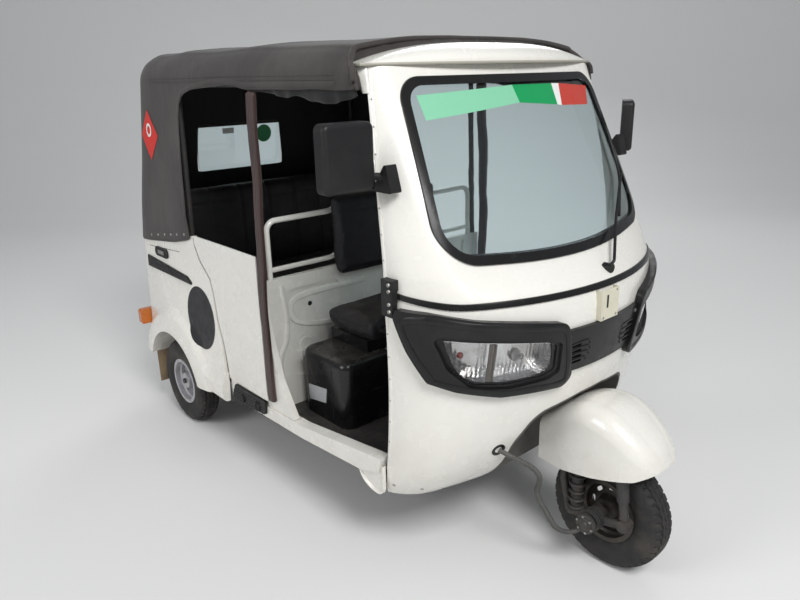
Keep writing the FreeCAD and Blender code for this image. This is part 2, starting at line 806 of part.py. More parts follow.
def build_rear_body():
    wall = mm("body_wall")
    axle = V(0, yb(mm("wheelbase")), mm("tyre_radius"))
    low, high = 270, 980
    shell = body_form(0, low, high).cut(body_form(-wall, low - 5, high + 5))
    keep_side = side_prism(BODY_FRONT + BODY_TOP + BODY_FOOT, BODY_BENDS, -800, 800)
    shell = shell.common(keep_side)
    r = mm("arch_radius")
    wide = mm("flare_half")
    reach = mm("flare_width")
    profile = [(r, 600), (r, wide), (r + 22, wide), (r + 80, wide - 12), (r + reach, 622), (r + reach, 600)]
    ring = Part.Face(polygon(profile, [0, 0, 30, 40, 0, 0]))
    ring.rotate(V(0, 0, 0), V(0, 0, 1), 90)
    turned = ring.revolve(V(0, 0, 0), V(1, 0, 0), 360)
    turned.translate(axle)
    skirt = prism([(-605, 277), (-646, 283), (-650, 350), (-622, 408), (-605, 408)], [0, 12, 30, 0, 0],
                  "xz", yb(1500), yb(1790))
    flare = turned.fuse(skirt)
    box_keep = side_prism([(1500, 277), (1500, 620), (2300, 620), (2300, 302), (2240, 302), (1700, 277)],
                          0, -700, -590)
    flare = flare.common(box_keep)
    inner = body_form(-wall, low - 5, high + 5)
    flare = flare.cut(inner)
    bore = Part.makeCylinder(r, 160, V(-720, axle.y, axle.z), V(1, 0, 0))
    liner = Part.makeCylinder(r + 10, 112, V(-612, axle.y, axle.z), V(1, 0, 0))
    liner = liner.cut(Part.makeCylinder(r, 108, V(-620, axle.y, axle.z), V(1, 0, 0)))
    liner = liner.common(Part.makeBox(400, 700, 400, V(-900, axle.y - 350, 300)))
    liner = liner.common(body_form(-1, low, high))
    right = flare.fuse(liner)
    shell = shell.fuse(right).fuse(mirror(right))
    shell = shell.cut(bore).cut(mirror(bore))
    half, foot, top = mm("cover_half") - 14, mm("cover_low") + 14, mm("cover_high") - 14
    mouth = prism([(-half, foot), (half, foot), (half, top), (-half, top)], 30, "xz", yb(2300), yb(2500))
    shell = shell.cut(mouth)
    feature("rear_body", solid(shell))


build_rear_body()

# Canopy: side view of what the canvas covers (behind the axle, height)
CANVAS_SIDE = [(mm("roof_front"), 1577), (1200, 1576), (1300, 1594), (1430, 1590), (1700, 1566), (1754, 1530),
               (1757, 1293), (1752, 1065), (1700, 962), (1920, 914), (2206, 881), (2460, 868), (2460, 1800),
               (mm("roof_front") + 76, 1800), (mm("roof_front") + 70, 1712), (mm("roof_front") + 10, 1650)]
CANVAS_BENDS = [0, 60, 60, 100, 60, 30, 400, 60, 0, 200, 200, 0, 0, 0, 60, 60]


# Canopy above the eaves: share of the rise, inset of the sides, inset of the back
ROOF_SECTIONS = [(0, 0, 0), (0.3, 3, 14), (0.58, 19, 42), (0.78, 49, 84), (0.9, 93, 134), (1, 300, 350)]


def roof_form(offset):
    """The canopy's form above the eaves, rounded at the sides and behind."""
    rise = mm("roof_height") - mm("canvas_wall") - mm("eaves_height")
    rows = []
    for share, side, rear in ROOF_SECTIONS:
        height = mm("eaves_height") + share * (rise + offset)
        half, back_end = mm("canvas_high_half") - side, mm("canvas_high_rear") - rear
        rows.append(shell_section(height, half, back_end, mm("canvas_corner"), offset))
    return Part.makeLoft(rows[:-1], True, False).fuse(Part.makeLoft(rows[-2:], True, True))


def build_canopy():
    wall = mm("canvas_wall")
    gap = mm("seat_gap")
    foot, eaves = 860, mm("eaves_height")
    outer = canopy_wall_form(wall, foot, eaves).fuse(roof_form(wall))
    inner = canopy_wall_form(gap, foot - 5, eaves).fuse(roof_form(gap))
    canvas = outer.common(side_prism(CANVAS_SIDE, CANVAS_BENDS, -800, 800)).cut(inner)
    half = mm("window_half")
    hole = prism([(-half, mm("window_low")), (half, mm("window_low")), (half, mm("window_high")),
                  (-half, mm("window_high"))], 26, "xz", yb(2200), yb(2500))
    canvas = canvas.cut(hole)
    canvas = canvas.cut(header_form(gap)).cut(body_form(gap, 840, 912))
    quarter = Part.makeBox(1600, 600, 180, V(-800, yb(1615), 838))
    canvas = canvas.cut(body_form(gap, 840, 990).common(quarter))
    found = sorted(canvas.Solids, key=lambda s: s.Volume)
    feature("canopy", found[-1])
    pane = canopy_wall_form(8, 1100, 1450).cut(canopy_wall_form(4, 1090, 1460))
    half -= 0.3
    low, high = mm("window_low") + 0.3, mm("window_high") - 0.3
    trim = prism([(-half, low), (half, low), (half, high), (-half, high)], 25.7, "xz", yb(2200), yb(2500))
    feature("rear_window", solid(pane.common(trim)))


build_canopy()

# Cross-members of the chassis ladder: distance behind the axle, name
CROSS_MEMBERS = [(520, "front"), (1196, "middle"), (1650, "arm"), (1909.7, "engine"), (2315, "rear")]


def build_chassis():
    half = S["rail_width"] / 2
    parts = []
    for side, tag in ((-1, "right"), (1, "left")):
        x = S["rail_spread"] / 2 * side
        parts.append(box("rail_" + tag, (x - half, back(400), RAIL_LOW),
                         (x + half, S["front_axle_y"] + S["body_rear"] - 30, RAIL_TOP)))
    x = S["rail_spread"] / 2
    for distance, tag in CROSS_MEMBERS:
        parts.append(box("cross_" + tag, (-x, back(distance - 20), RAIL_LOW + 8),
                         (x, back(distance + 20), RAIL_TOP)))
    for side, tag in ((-1, "right"), (1, "left")):
        x = (S["sill_outer"] - S["sill_width"]) * side
        inner = S["rail_spread"] / 2 * side
        low, high = (x, inner) if side < 0 else (inner, x)
        for distance in (560, 1196):
            parts.append(box("outrigger_" + tag + str(distance), (low, back(distance - 15), RAIL_LOW + 20),
                             (high, back(distance + 15), RAIL_TOP)))
    for side, tag in ((-1, "right"), (1, "left")):
        inner = S["rail_spread"] / 2 * side - 7
        low, high = (size(-474), inner + 14) if side < 0 else (inner, size(474))
        parts.append(box("tower_post_" + tag, (inner, back(1872), RAIL_TOP - 10),
                         (inner + 14, back(1928), size(462))))
        parts.append(box("tower_top_" + tag, (low, back(1872), size(452)), (high, back(1928), size(462))))
    frame = fuse("rails", parts)
    doc.recompute()
    bore = mm("column_radius") + mm("running_gap")
    outer = bore + mm("head_wall")
    head = steer_bar(outer, mm("head_low"), mm("head_high"))
    shape = frame.Shape
    for stay in head_stays(15):
        shape = shape.fuse(stay)
    shape = shape.fuse(head).cut(steer_bar(bore, 600, 1000))
    feature("chassis_frame", solid(shape))


build_chassis()


def build_floor():
    """The floor follows the inside of the front shell."""
    gap = mm("seat_gap") + 0.7
    row = between(COWL_SECTIONS[0], COWL_SECTIONS[1], RAIL_TOP.value)
    front = Part.Face(cowl_section(row, -mm("cowl_wall") - gap))
    front = front.extrude(V(0, 0, mm("floor_thickness")))
    half = mm("sill_outer") - mm("sill_width") - 0.1
    limit = Part.makeBox(2 * half, 1500, 60, V(-half, yb(300), RAIL_TOP.value - 5))
    rear_y = yb(1642)
    rear = Part.makeBox(2 * half, rear_y - yb(600), mm("floor_thickness"), V(-half, yb(600), RAIL_TOP.value))
    pan = front.common(limit).fuse(rear).removeSplitter()
    pan = pan.cut(wheel_well(mm("well_sheet") + mm("seat_gap")))
    for stay in head_stays(15.4):
        pan = pan.cut(stay)
    feature("floor_pan", solid(pan))


build_floor()

# Sill in side view (behind the axle, height): it rises towards the front
SILL = [(497, 370), (583, 340), (964, 309), (1251, 300), (1497, 277), (1497, 392), (1230, 392), (1224, 352),
        (958, 360), (535, 418), (486, 424)]


def build_sills():
    points = [(back(a), size(b)) for a, b in SILL]
    sill = padded("sill_right", "YZ_Plane", points, -S["sill_outer"], S["sill_width"] - S["sill_outer"])
    rounded(sill, "sill_round", 6, lambda e: runs_along(1)(e) and e.BoundBox.XMax < -mm("sill_outer") + 1)
    mirrored_pair("sills", sill)
    pad_points = [(back(a), size(b)) for a, b in ((1206, 319), (1489, 281), (1444, 373), (1197, 377))]
    outer = -S["sill_outer"]
    pad = padded("pad_right", "YZ_Plane", pad_points, outer - 12, outer)
    rounded(pad, "pad_round", 5, lambda e: runs_along(0)(e))
    pad_boss = across(primitive("Cylinder", "pad_boss", {"Radius": 17, "Height": 8},
                                (outer - 18, back(1384), 327)))
    mirrored_pair("step_pads", fuse("pad_whole", [pad, pad_boss]))


build_sills()


def front_bend(edge):
    """The bends of a post's front edge."""
    return runs_along(0)(edge) and 480 < edge.BoundBox.ZMin < 780


def build_bulkhead():
    front = S["bulkhead_y"]
    y0, y1 = back(front), back(front + S["bulkhead_thickness"])
    half, top = S["bulkhead_half"], S["bulkhead_top"]
    floor, step = S["floor_height"], size(354)
    inner = S["sill_outer"] - S["sill_width"] - 0.3
    panel = padded("bulkhead_panel", "XZ_Plane",
                   [(-half, step), (-inner, step), (-inner, floor), (inner, floor), (inner, step), (half, step),
                    (half, top), (-half, top)], y0, y1)
    for side, tag in ((-1, "right"), (1, "left")):
        outer, inside = half * side - 96 * side, size(236 * side)
        recess = [(outer, size(560)), (outer, size(822)), (inside, size(822)), (inside, size(560))]
        pocketed(panel, "recess_" + tag, "XZ_Plane", recess, y0, y0 + 8)
        lower = [(outer, size(452)), (outer, size(512)), (inside, size(512)), (inside, size(452))]
        pocketed(panel, "lower_recess_" + tag, "XZ_Plane", lower, y0, y0 + 8)
    rounded(panel, "recess_corners", 28, lambda e: runs_along(1)(e) and e.BoundBox.YLength < 9)
    post = [(1202, 876), (1173, 876), (1173, 766), (1147, 649), (1097, 496), (1010, 361), (1202, 353)]
    posts = []
    for side, tag in ((-1, "right"), (1, "left")):
        low, high = (-S["sill_outer"] + 5, -half) if side < 0 else (half, S["sill_outer"] - 5)
        body = padded("post_" + tag, "YZ_Plane", [(back(a), size(b)) for a, b in post], low, high)
        rounded(body, "post_bends_" + tag, 130, front_bend)
        posts.append(body)
    keep(fuse("bulkhead_whole", [panel] + posts), "bulkhead")


build_bulkhead()


def build_grab_rails():
    y = yb(mm("bulkhead_y") + mm("bulkhead_thickness") / 2)
    x, foot, top = 548, mm("bulkhead_top") + 0.1, 1102
    r = 11
    frame = tube([(-x, y, foot), (-x, y, top), (-260, y, top), (-190, y + 44, top + 4), (190, y + 44, top + 4),
                  (260, y, top), (x, y, top), (x, y, foot)], [40, 60, 60, 60, 60, 40], r)
    lower = tube([(-x, y, 912), (-260, y, 912), (-190, y + 44, 914), (190, y + 44, 914), (260, y, 912),
                  (x, y, 912)], 60, r - 1)
    feature("grab_rails", solid(frame.fuse(lower)))


build_grab_rails()


def soft_block(label, low, high, radius):
    """A cushion: a block with round corners and edges."""
    points = [(low[0], low[1]), (high[0], low[1]), (high[0], high[1]), (low[0], high[1])]
    body = padded(label + "_block", "XY_Plane", points, low[2], high[2])
    rounded(body, label + "_corners", size(radius) * 1.6, runs_along(2))
    rounded(body, label + "_edges", radius, lambda e: e.BoundBox.ZLength < 0.01)
    return keep(body, label)


def build_driver_seat():
    floor = S["floor_height"]
    y0, y1 = back(842), back(1136)
    points = [(size(-472), y0), (size(472), y0), (size(472), y1), (size(-472), y1)]
    lower = padded("seat_box_lower", "XY_Plane", points, floor, floor + 272)
    rounded(lower, "seat_box_corners", 46, runs_along(2))
    top_edge = mm("floor_height") + 260
    rounded(lower, "seat_box_edges", 34, lambda e: e.BoundBox.ZLength < 0.01 and e.BoundBox.ZMin > top_edge)
    riser = box("seat_riser", (size(-330), y0 + 40, floor + 260), (size(330), y1 - 20, floor + 318))
    keep(fuse("seat_box_whole", [lower, riser]), "driver_seat_box")
    base = floor + 318 + S["seat_gap"]
    soft_block("driver_cushion", (size(-372), back(806), base), (size(372), back(1122), base + 92), 26)
    rear = back(S["bulkhead_y"]) - S["seat_gap"]
    soft_block("driver_backrest", (size(-290), rear - 62, base + 186), (size(290), rear, size(1192)), 17)


build_driver_seat()


def build_rear_cabin():
    floor = S["floor_height"]
    foot = floor - S["floor_thickness"]
    seat = S["bench_height"]
    sheet_wall = S["bench_sheet"]
    front = back(S["bench_front"])
    rear = back(2010)
    points = [(front, foot), (front + 14, seat), (rear, seat), (rear, seat - sheet_wall),
              (front + 14 + sheet_wall, seat - sheet_wall), (front + sheet_wall, foot)]
    bench = padded("bench_sheet_body", "YZ_Plane", points, -470, 470)
    keep(bench, "passenger_bench")
    top = seat + S["seat_gap"]
    soft_block("passenger_cushion", (size(-530), front + 6, top), (size(530), back(2085), top + 105), 32)
    low, high = (size(-540), back(2096), top + 26), (size(540), back(2196), size(1130))
    soft_block("passenger_backrest", low, high, 30)
    y_rear = back(S["body_rear"] - S["body_wall"] - S["seat_gap"])
    deck = box("deck", (size(-470), rear, seat - sheet_wall), (size(470), y_rear, seat))
    stand_y = back(2196) + S["seat_gap"]
    stand = box("deck_stand", (size(-470), stand_y, seat), (size(470), stand_y + 8, size(1060)))
    foot_y = back(2297)
    leg = box("deck_leg", (size(-300), foot_y, RAIL_TOP), (size(300), foot_y + 12, seat - sheet_wall))
    keep(fuse("rear_deck_whole", [deck, stand, leg]), "rear_deck")


build_rear_cabin()


def build_side_panel():
    outline = [(1182, 980), (1697, 980), (1697, 946), (1655, 880), (1579, 813), (1558, 741), (1546, 635),
               (1514, 533), (1493, 385), (1182, 385)]
    low = -S["sill_outer"] - 6 - S["seat_gap"]
    panel = padded("side_sheet", "YZ_Plane", [(back(a), size(b)) for a, b in outline], low, low + 6)
    keep(panel, "side_panel")


build_side_panel()


def build_pillars():
    """The wrapped posts behind the driver's doorways, leaning in."""
    outline = [(-619, 393), (-600.3, 393), (-600.3, 880), (-577, 1572), (-598, 1572), (-618, 880)]
    wrap = padded("wrap_right", "XZ_Plane", [(size(a), size(b)) for a, b in outline], back(1116), back(1176))
    rounded(wrap, "wrap_round", 5, lambda e: e.BoundBox.ZLength > 400)
    mirrored_pair("pillar_wraps", wrap)


build_pillars()


def hoop(distance, foot, drop):
    """A roof hoop under the canvas; its top is lower by the drop."""
    y = yb(distance)
    r = mm("hoop_radius")
    eaves = mm("eaves_height")
    high = mm("canvas_high_half") - r - 1.5
    lean = (mm("body_high_half") - mm("canvas_high_half")) / (eaves - mm("body_shoulder"))
    low = high + lean * (eaves - foot) - mm("body_wall") - 1
    top = mm("roof_height") - mm("canvas_wall") - r - 3 - drop
    points = [(-low, y, foot), (-high, y, eaves), (-high + 90, y, top - 22), (0, y, top),
              (high - 90, y, top - 22), (high, y, eaves), (low, y, foot)]
    return tube(points, [60, 60, 900, 60, 60], r)


def build_hoops():
    r = mm("hoop_radius")
    hoops = [hoop(1190, mm("bulkhead_top") + 0.5, 0), hoop(1790, 950, 0), hoop(2100, 910, 30)]
    x = mm("canvas_high_half") - r - 1.5
    z = mm("eaves_height")
    shape = hoops[0].fuse(hoops[1:])
    for side in (-1, 1):
        shape = shape.fuse(Part.makeCylinder(9, yb(2100) - yb(700), V(side * x, yb(700), z), V(0, 1, 0)))
    y = yb(700)
    route = [(-x, y, z), (-x + 60, y, z + 92), (0, y, z + 108), (x - 60, y, z + 92), (x, y, z)]
    front = tube(route, [50, 500, 50], 9)
    feature("canopy_hoops", solid(shape.fuse(front)))


build_hoops()


def build_mirrors():
    half, depth = S["mirror_half"], S["mirror_depth"]
    y = back(450)
    z = size(1308)
    low = (-half, y, z)
    points = [(low[0], low[1]), (low[0] + S["mirror_width"], low[1]),
              (low[0] + S["mirror_width"], low[1] + depth), (low[0], low[1] + depth)]
    head = padded("mirror_head", "XY_Plane", points, z, z + S["mirror_height"])
    rounded(head, "mirror_corners", 20, runs_along(1))
    rounded(head, "mirror_edges", 14, lambda e: e.BoundBox.YMax < y.value + 0.01)
    doc.recompute()
    form = nose_solid(0).fuse(screen_solid(0))
    plate = prism([(yb(400), 1300), (yb(478), 1300), (yb(470), 1325), (yb(425), 1385)], 6, "yz", -600, -560)
    plate = plate.cut(form)
    arm = tube([(-650, yb(468), 1345), (-600, yb(458), 1345), (-585, yb(436), 1340)], 12, 11).cut(form)
    right = solid(head.Shape.fuse(arm).fuse(plate))
    swept = mirror(head.Shape)
    middle = V(half.value - mm("mirror_width") / 2, y.value + mm("mirror_depth") / 2, 0)
    swept.rotate(middle, V(0, 0, 1), mm("mirror_sweep"))
    swept.translate(V(half.value - swept.BoundBox.XMax, 0, 0))
    arm = tube([(664, yb(456), 1345), (606, yb(446), 1345), (585, yb(434), 1340)], 12, 11).cut(form)
    left = solid(swept.fuse(arm).fuse(mirror(plate)))
    feature("mirrors", Part.makeCompound([right, left]))
    block = Part.makeBox(26, 48, 112, V(-616, yb(392), 940))
    block = block.cut(nose_solid(0)).cut(screen_solid(0)).cut(nose_solid(mm("belt_rise")).fuse(
        screen_solid(mm("belt_rise"))).common(Part.makeBox(2000, 900, 60, V(-1000, yb(-200), 960))))
    found = sorted(block.Solids, key=lambda s: s.Volume)
    feature("hinge_blocks", both(found[-1]))


build_mirrors()


def build_dash():
    """Glove boxes on both sides of the column, joined by a shelf behind the screen."""
    side = [(60, 924), (408, 914), (426, 880), (386, 832), (60, 832)]
    block = side_prism(side, [0, 16, 20, 20, 0], -530, 530)
    room = Part.makeBox(300, 300, 300, V(-150, yb(196), 750))
    bay = side_prism([(250, 852), (440, 844), (440, 896), (250, 904)], 10, -500, 500)
    block = block.cut(room).cut(bay).common(nose_solid(-mm("cowl_wall") - 0.2))
    lamp_room = skin(nose_solid, 5, -mm("lamp_depth") - 1).common(lamp_prism())
    block = block.cut(door_cutter(-0.2)).cut(lamp_room).cut(mirror(lamp_room))
    found = sorted(block.Solids, key=lambda s: s.Volume)
    feature("dashboard", found[-1])


build_dash()


def build_wiper():
    """The arm and blade rest on the windscreen, a little out from the glass."""
    def on_screen(x, height, rise):
        low, high = COWL_SECTIONS[6], COWL_SECTIONS[7]
        row = dict(zip(COWL_COLUMNS, between(low, high, height)))
        crown = row["crown"]
        return (x, yb(row["front"]) - rise + crown - math.sqrt(crown ** 2 - x ** 2), height)
    shelf = between(COWL_SECTIONS[5], COWL_SECTIONS[6], 1016)
    root = V(50, yb(shelf[1]) + 4, 1016)
    route = [root, (56, root.y - 26, 1034), on_screen(240, 1128, 20), on_screen(428, 1254, 16)]
    arm = tube(route, [16, 200], 5)
    lift = mm("seal_rise") + 6
    blade = tube([on_screen(289, 1132, lift), on_screen(428, 1254, lift), on_screen(450, 1416, lift)], 200, 5)
    boss = Part.makeCylinder(15, 30, root + V(0, 6, 0), V(0, -1, 0))
    shape = arm.fuse(blade).fuse(boss).cut(screen_solid(0.05))
    found = sorted(shape.Solids, key=lambda s: s.Volume)
    feature("wiper", found[-1])


build_wiper()

REAR_AXLE = S["front_axle_y"] + S["wheelbase"]


def build_engine():
    """The engine and gearbox as one plain block, with the silencer behind."""
    block = box("engine_case", (size(-170), back(1930), size(216)), (size(150), back(2280), size(520)))
    keep(block, "engine_block")
    y, z = yb(2328), 214
    can = Part.makeCylinder(45, 440, V(-220, y, z), V(1, 0, 0))
    pipe = Part.makeCylinder(17, y - yb(2280), V(60, yb(2280), 236), V(0, 1, 0))
    strap = Part.makeBox(40, 20, RAIL_LOW.value + 8 - 240, V(-20, y - 10, 240))
    tail = tube([(-215, y, z), (-250, y, z), (-270, y + 40, z - 10), (-270, y + 74, z - 14)], [14, 14], 14)
    feature("silencer", solid(can.fuse(pipe).fuse(strap).fuse(tail)))


build_engine()


def build_rear_arms():
    """Trailing arms with the wheel spindles, and the drive shafts."""
    y, z = REAR_AXLE.value, mm("tyre_radius")
    hub_in = mm("rear_track") / 2 - mm("hub_length") / 2
    hub_out = hub_in + mm("hub_length")
    rail_side = mm("rail_spread") / 2 + mm("rail_width") / 2
    pivot = Part.makeCylinder(26, 62, V(-rail_side - 62, yb(1650), RAIL_LOW.value + 28), V(1, 0, 0))
    carrier = Part.makeCylinder(36, 24, V(-hub_in + 1, y, z), V(1, 0, 0))
    arm = tube([(-rail_side - 34, yb(1650), RAIL_LOW.value + 28), (-430, yb(1790), 262), (-430, yb(1900), 246),
                (-hub_in + 14, y, z)], [60, 80], 20)
    stub = Part.makeCylinder(mm("axle_radius"), hub_out - hub_in + 12, V(-hub_out - 10, y, z), V(1, 0, 0))
    shaft = Part.makeCylinder(14, hub_in - 170 - 4, V(-hub_in + 4, y, z), V(1, 0, 0))
    seat = Part.makeCylinder(34, 34, V(-430, yb(1900), 236), V(0, 0, 1))
    right = solid(pivot.fuse(arm).fuse(carrier).fuse(stub).fuse(shaft).fuse(seat))
    left = mirror(right).fuse(Part.makeCylinder(14, 30, V(150, y, z), V(1, 0, 0)))
    feature("rear_arms", Part.makeCompound([right, solid(left)]))
    low, high = 270, 452
    body = Part.makeCylinder(20, high - low - 1, V(-430, yb(1900), low + 0.5))
    shape = body
    turns = 6
    pitch = (high - low - 30) / turns
    for i in range(turns + 1):
        ring = Part.makeTorus(25, 6, V(-430, yb(1900), low + 15 + i * pitch))
        shape = shape.fuse(ring)
    feature("rear_dampers", both(solid(shape)))


build_rear_arms()


def build_bumper():
    r = mm("bumper_radius")
    y, z = yb(2412), 284
    bar = tube([(-575, y - 70, z), (-545, y, z), (545, y, z), (575, y - 70, z)], 40, r)
    parts = bar
    for side in (-1, 1):
        rail_end = yb(mm("body_rear") - 30) + 0.1
        corner = V(side * mm("rail_spread") / 2 - 15, rail_end, z - 12)
        arm = Part.makeBox(30, y - 2 - rail_end, 24, corner)
        parts = parts.fuse(arm)
    feature("rear_bumper", solid(parts))
    flap = Part.makeBox(92, 4, 168, V(-638, yb(2231), 131.7))
    feature("mud_flaps", both(flap))


build_bumper()


def build_body_trim():
    strip = side_prism([(2225, 806), (1795, 781), (1738, 750), (2225, 752)], [0, 12, 6, 0], -700, -500)
    trim = body_form(6, 700, 850).cut(body_form(0, 690, 860)).common(strip)
    vent = side_prism([(1985, 823), (2125, 823), (2125, 867), (1985, 867)], 21.9, -700, -500)
    vent = body_form(7, 700, 900).cut(body_form(0, 690, 910)).common(vent)
    feature("side_mouldings", both(Part.makeCompound([solid(trim), solid(vent)])))
    lamp = prism([(-668, 432), (-560, 432), (-560, 508), (-668, 508)], [12, 0, 0, 12], "xz", yb(2302), yb(2336))
    lamp = lamp.cut(body_form(0, 300, 900))
    found = sorted(lamp.Solids, key=lambda s: s.Volume)
    feature("rear_lamps", both(found[-1]))


build_body_trim()


def build_cover():
    """Top-hinged engine cover with louvre slots, and its hinge pins."""
    face_y = back(S["body_rear"]) + 0.5
    half, low, high = S["cover_half"], S["cover_low"], S["cover_high"]
    lid = padded("lid_sheet", "XZ_Plane", [(-half, low), (half, low), (half, high), (-half, high)],
                 face_y, face_y + S["cover_sheet"])
    rounded(lid, "lid_corners", 28, lambda e: runs_along(1)(e) and e.BoundBox.ZMax < mm("cover_low") + 1)
    for i in range(5):
        z = low + 96 + 46 * i
        inner = half - 120
        slot = [(-inner, z), (inner, z), (inner, z + 16), (-inner, z + 16)]
        pocketed(lid, "louvre" + str(i), "XZ_Plane", slot, face_y - 1, face_y + S["cover_sheet"] + 1)
    pin_y, pin_z = face_y.value + 7.2, high.value + 9
    shape = lid.Shape
    pins = []
    for side in (-1, 1):
        x = side * 210
        barrel = Part.makeCylinder(7, 60, V(x - 30, pin_y, pin_z), V(1, 0, 0))
        tongue = Part.makeBox(60, 6, 12, V(x - 30, pin_y - 3, pin_z - 14))
        shape = shape.fuse(barrel.fuse(tongue))
        shape = shape.cut(Part.makeCylinder(3 + mm("running_gap"), 62, V(x - 31, pin_y, pin_z), V(1, 0, 0)))
        pin = Part.makeCylinder(3, 78, V(x - 39, pin_y, pin_z), V(1, 0, 0))
        for end in (-39, 31):
            foot_y = yb(mm("body_rear"))
            ear = Part.makeBox(8, pin_y - foot_y, 14, V(x + end, foot_y, pin_z - 7))
            ear = ear.fuse(Part.makeCylinder(7, 8, V(x + end, pin_y, pin_z), V(1, 0, 0)))
            pin = pin.fuse(ear)
        pins.append(solid(pin))
    handle = Part.makeBox(90, 12, 18, V(-45, face_y.value + mm("cover_sheet"), low.value + 22))
    feature("engine_cover", solid(shape.fuse(handle)))
    feature("cover_hinges", Part.makeCompound(pins))


build_cover()

# Wheel profiles: (x, radius), x towards the middle of the vehicle is positive
def wheel_profiles():
    w, r = S["tyre_width"] / 2, S["tyre_radius"]
    f, fr = S["rim_width"] / 2, S["rim_radius"]
    seat = fr - 11
    well = S["rim_well"]
    t = S["rim_sheet"]
    bead = f - t
    tyre = [(-bead, seat), (-bead, fr), (-bead - 2, fr + 3), (-w + 3, fr + 26), (-w, r - 50), (-w + 5, r - 19),
            (-w + 17, r - 5), (-w + 34, r), (w - 34, r), (w - 17, r - 5), (w - 5, r - 19), (w, r - 50),
            (w - 3, fr + 26), (bead + 2, fr + 3), (bead, fr), (bead, seat)]
    hub, ends = S["hub_radius"], S["hub_length"] / 2
    bore = S["axle_radius"] + S["running_gap"]
    rim = [(-f, fr), (-bead, fr), (-bead, seat), (-18, seat), (-13, well), (13, well), (18, seat),
           (bead, seat), (bead, fr), (f, fr), (f, seat - t), (20, seat - t), (14, well - t),
           (8, well - t), (8, well - 16), (2, hub + 8), (2, hub), (ends, hub - 8), (ends, bore),
           (-ends, bore), (-ends, hub - 8), (-4, hub), (-4, hub + 8), (2, well - 16), (2, well - t),
           (-14, well - t), (-20, seat - t), (-f, seat - t)]
    return tyre, rim


RIM_SLOTS = 8


def rim_slots(centre):
    """Oval slots round the rim's web."""
    middle = (mm("rim_well") - 16 + mm("hub_radius") + 8) / 2
    slots = []
    for i in range(RIM_SLOTS):
        low, high = middle - 7, middle + 7
        slot = prism([(-14, low), (14, low), (14, high), (-14, high)], 6.9, "yz", -30, 30)
        slot.rotate(V(0, 0, 0), V(1, 0, 0), 360 * i / RIM_SLOTS)
        slot.translate(V(*centre))
        slots.append(slot)
    return Part.makeCompound(slots)


def build_wheel(tag, centre):
    tyre_points, rim_points = wheel_profiles()
    tyre = revolved("tyre_" + tag, [(size(a), size(b)) for a, b in tyre_points], centre)
    keep(tyre, tag + "_tyre")
    rim = revolved("rim_" + tag, [(size(a), size(b)) for a, b in rim_points], centre)
    doc.recompute()
    slot = doc.addObject("Part::Feature", "slots_" + tag)
    slot.Shape = rim_slots([size(c).value for c in centre])
    keep(cut("rim_cut_" + tag, rim, slot), tag + "_rim")


half_track = S["rear_track"] / 2
build_wheel("front", (size(0), S["front_axle_y"], S["tyre_radius"]))
build_wheel("rear_right", (-half_track, REAR_AXLE, S["tyre_radius"]))
build_wheel("rear_left", (half_track, REAR_AXLE, S["tyre_radius"]))

# Front fender: behind the axle, height of the top, half width, corner radius
FENDER_SECTIONS = [(226, 516, 110, 44), (150, 570, 117, 60), (60, 606, 124, 66), (-20, 600, 125, 66),
                   (-90, 562, 117, 62), (-148, 512, 94, 52), (-182, 462, 52, 26)]


def fender_form(offset):
    rows = []
    for distance, top, half, corner in FENDER_SECTIONS:
        y = yb(distance) - (offset if distance < -150 else 0)
        x, z, r = half + offset, top + offset, corner + offset
        k = r * math.sqrt(0.5)
        low = 300
        sag = 6
        rows.append(Part.Wire([
            Part.LineSegment(V(-x, y, low), V(-x, y, z - r - sag)).toShape(),
            Part.Arc(V(-x, y, z - r - sag), V(-x + r - k, y, z - sag - r + k), V(-x + r, y, z - sag)).toShape(),
            Part.Arc(V(-x + r, y, z - sag), V(0, y, z), V(x - r, y, z - sag)).toShape(),
            Part.Arc(V(x - r, y, z - sag), V(x - r + k, y, z - sag - r + k), V(x, y, z - r - sag)).toShape(),
            Part.LineSegment(V(x, y, z - r - sag), V(x, y, low)).toShape(),
            Part.LineSegment(V(x, y, low), V(-x, y, low)).toShape(),
        ]))
    return Part.makeLoft(rows, True, False)


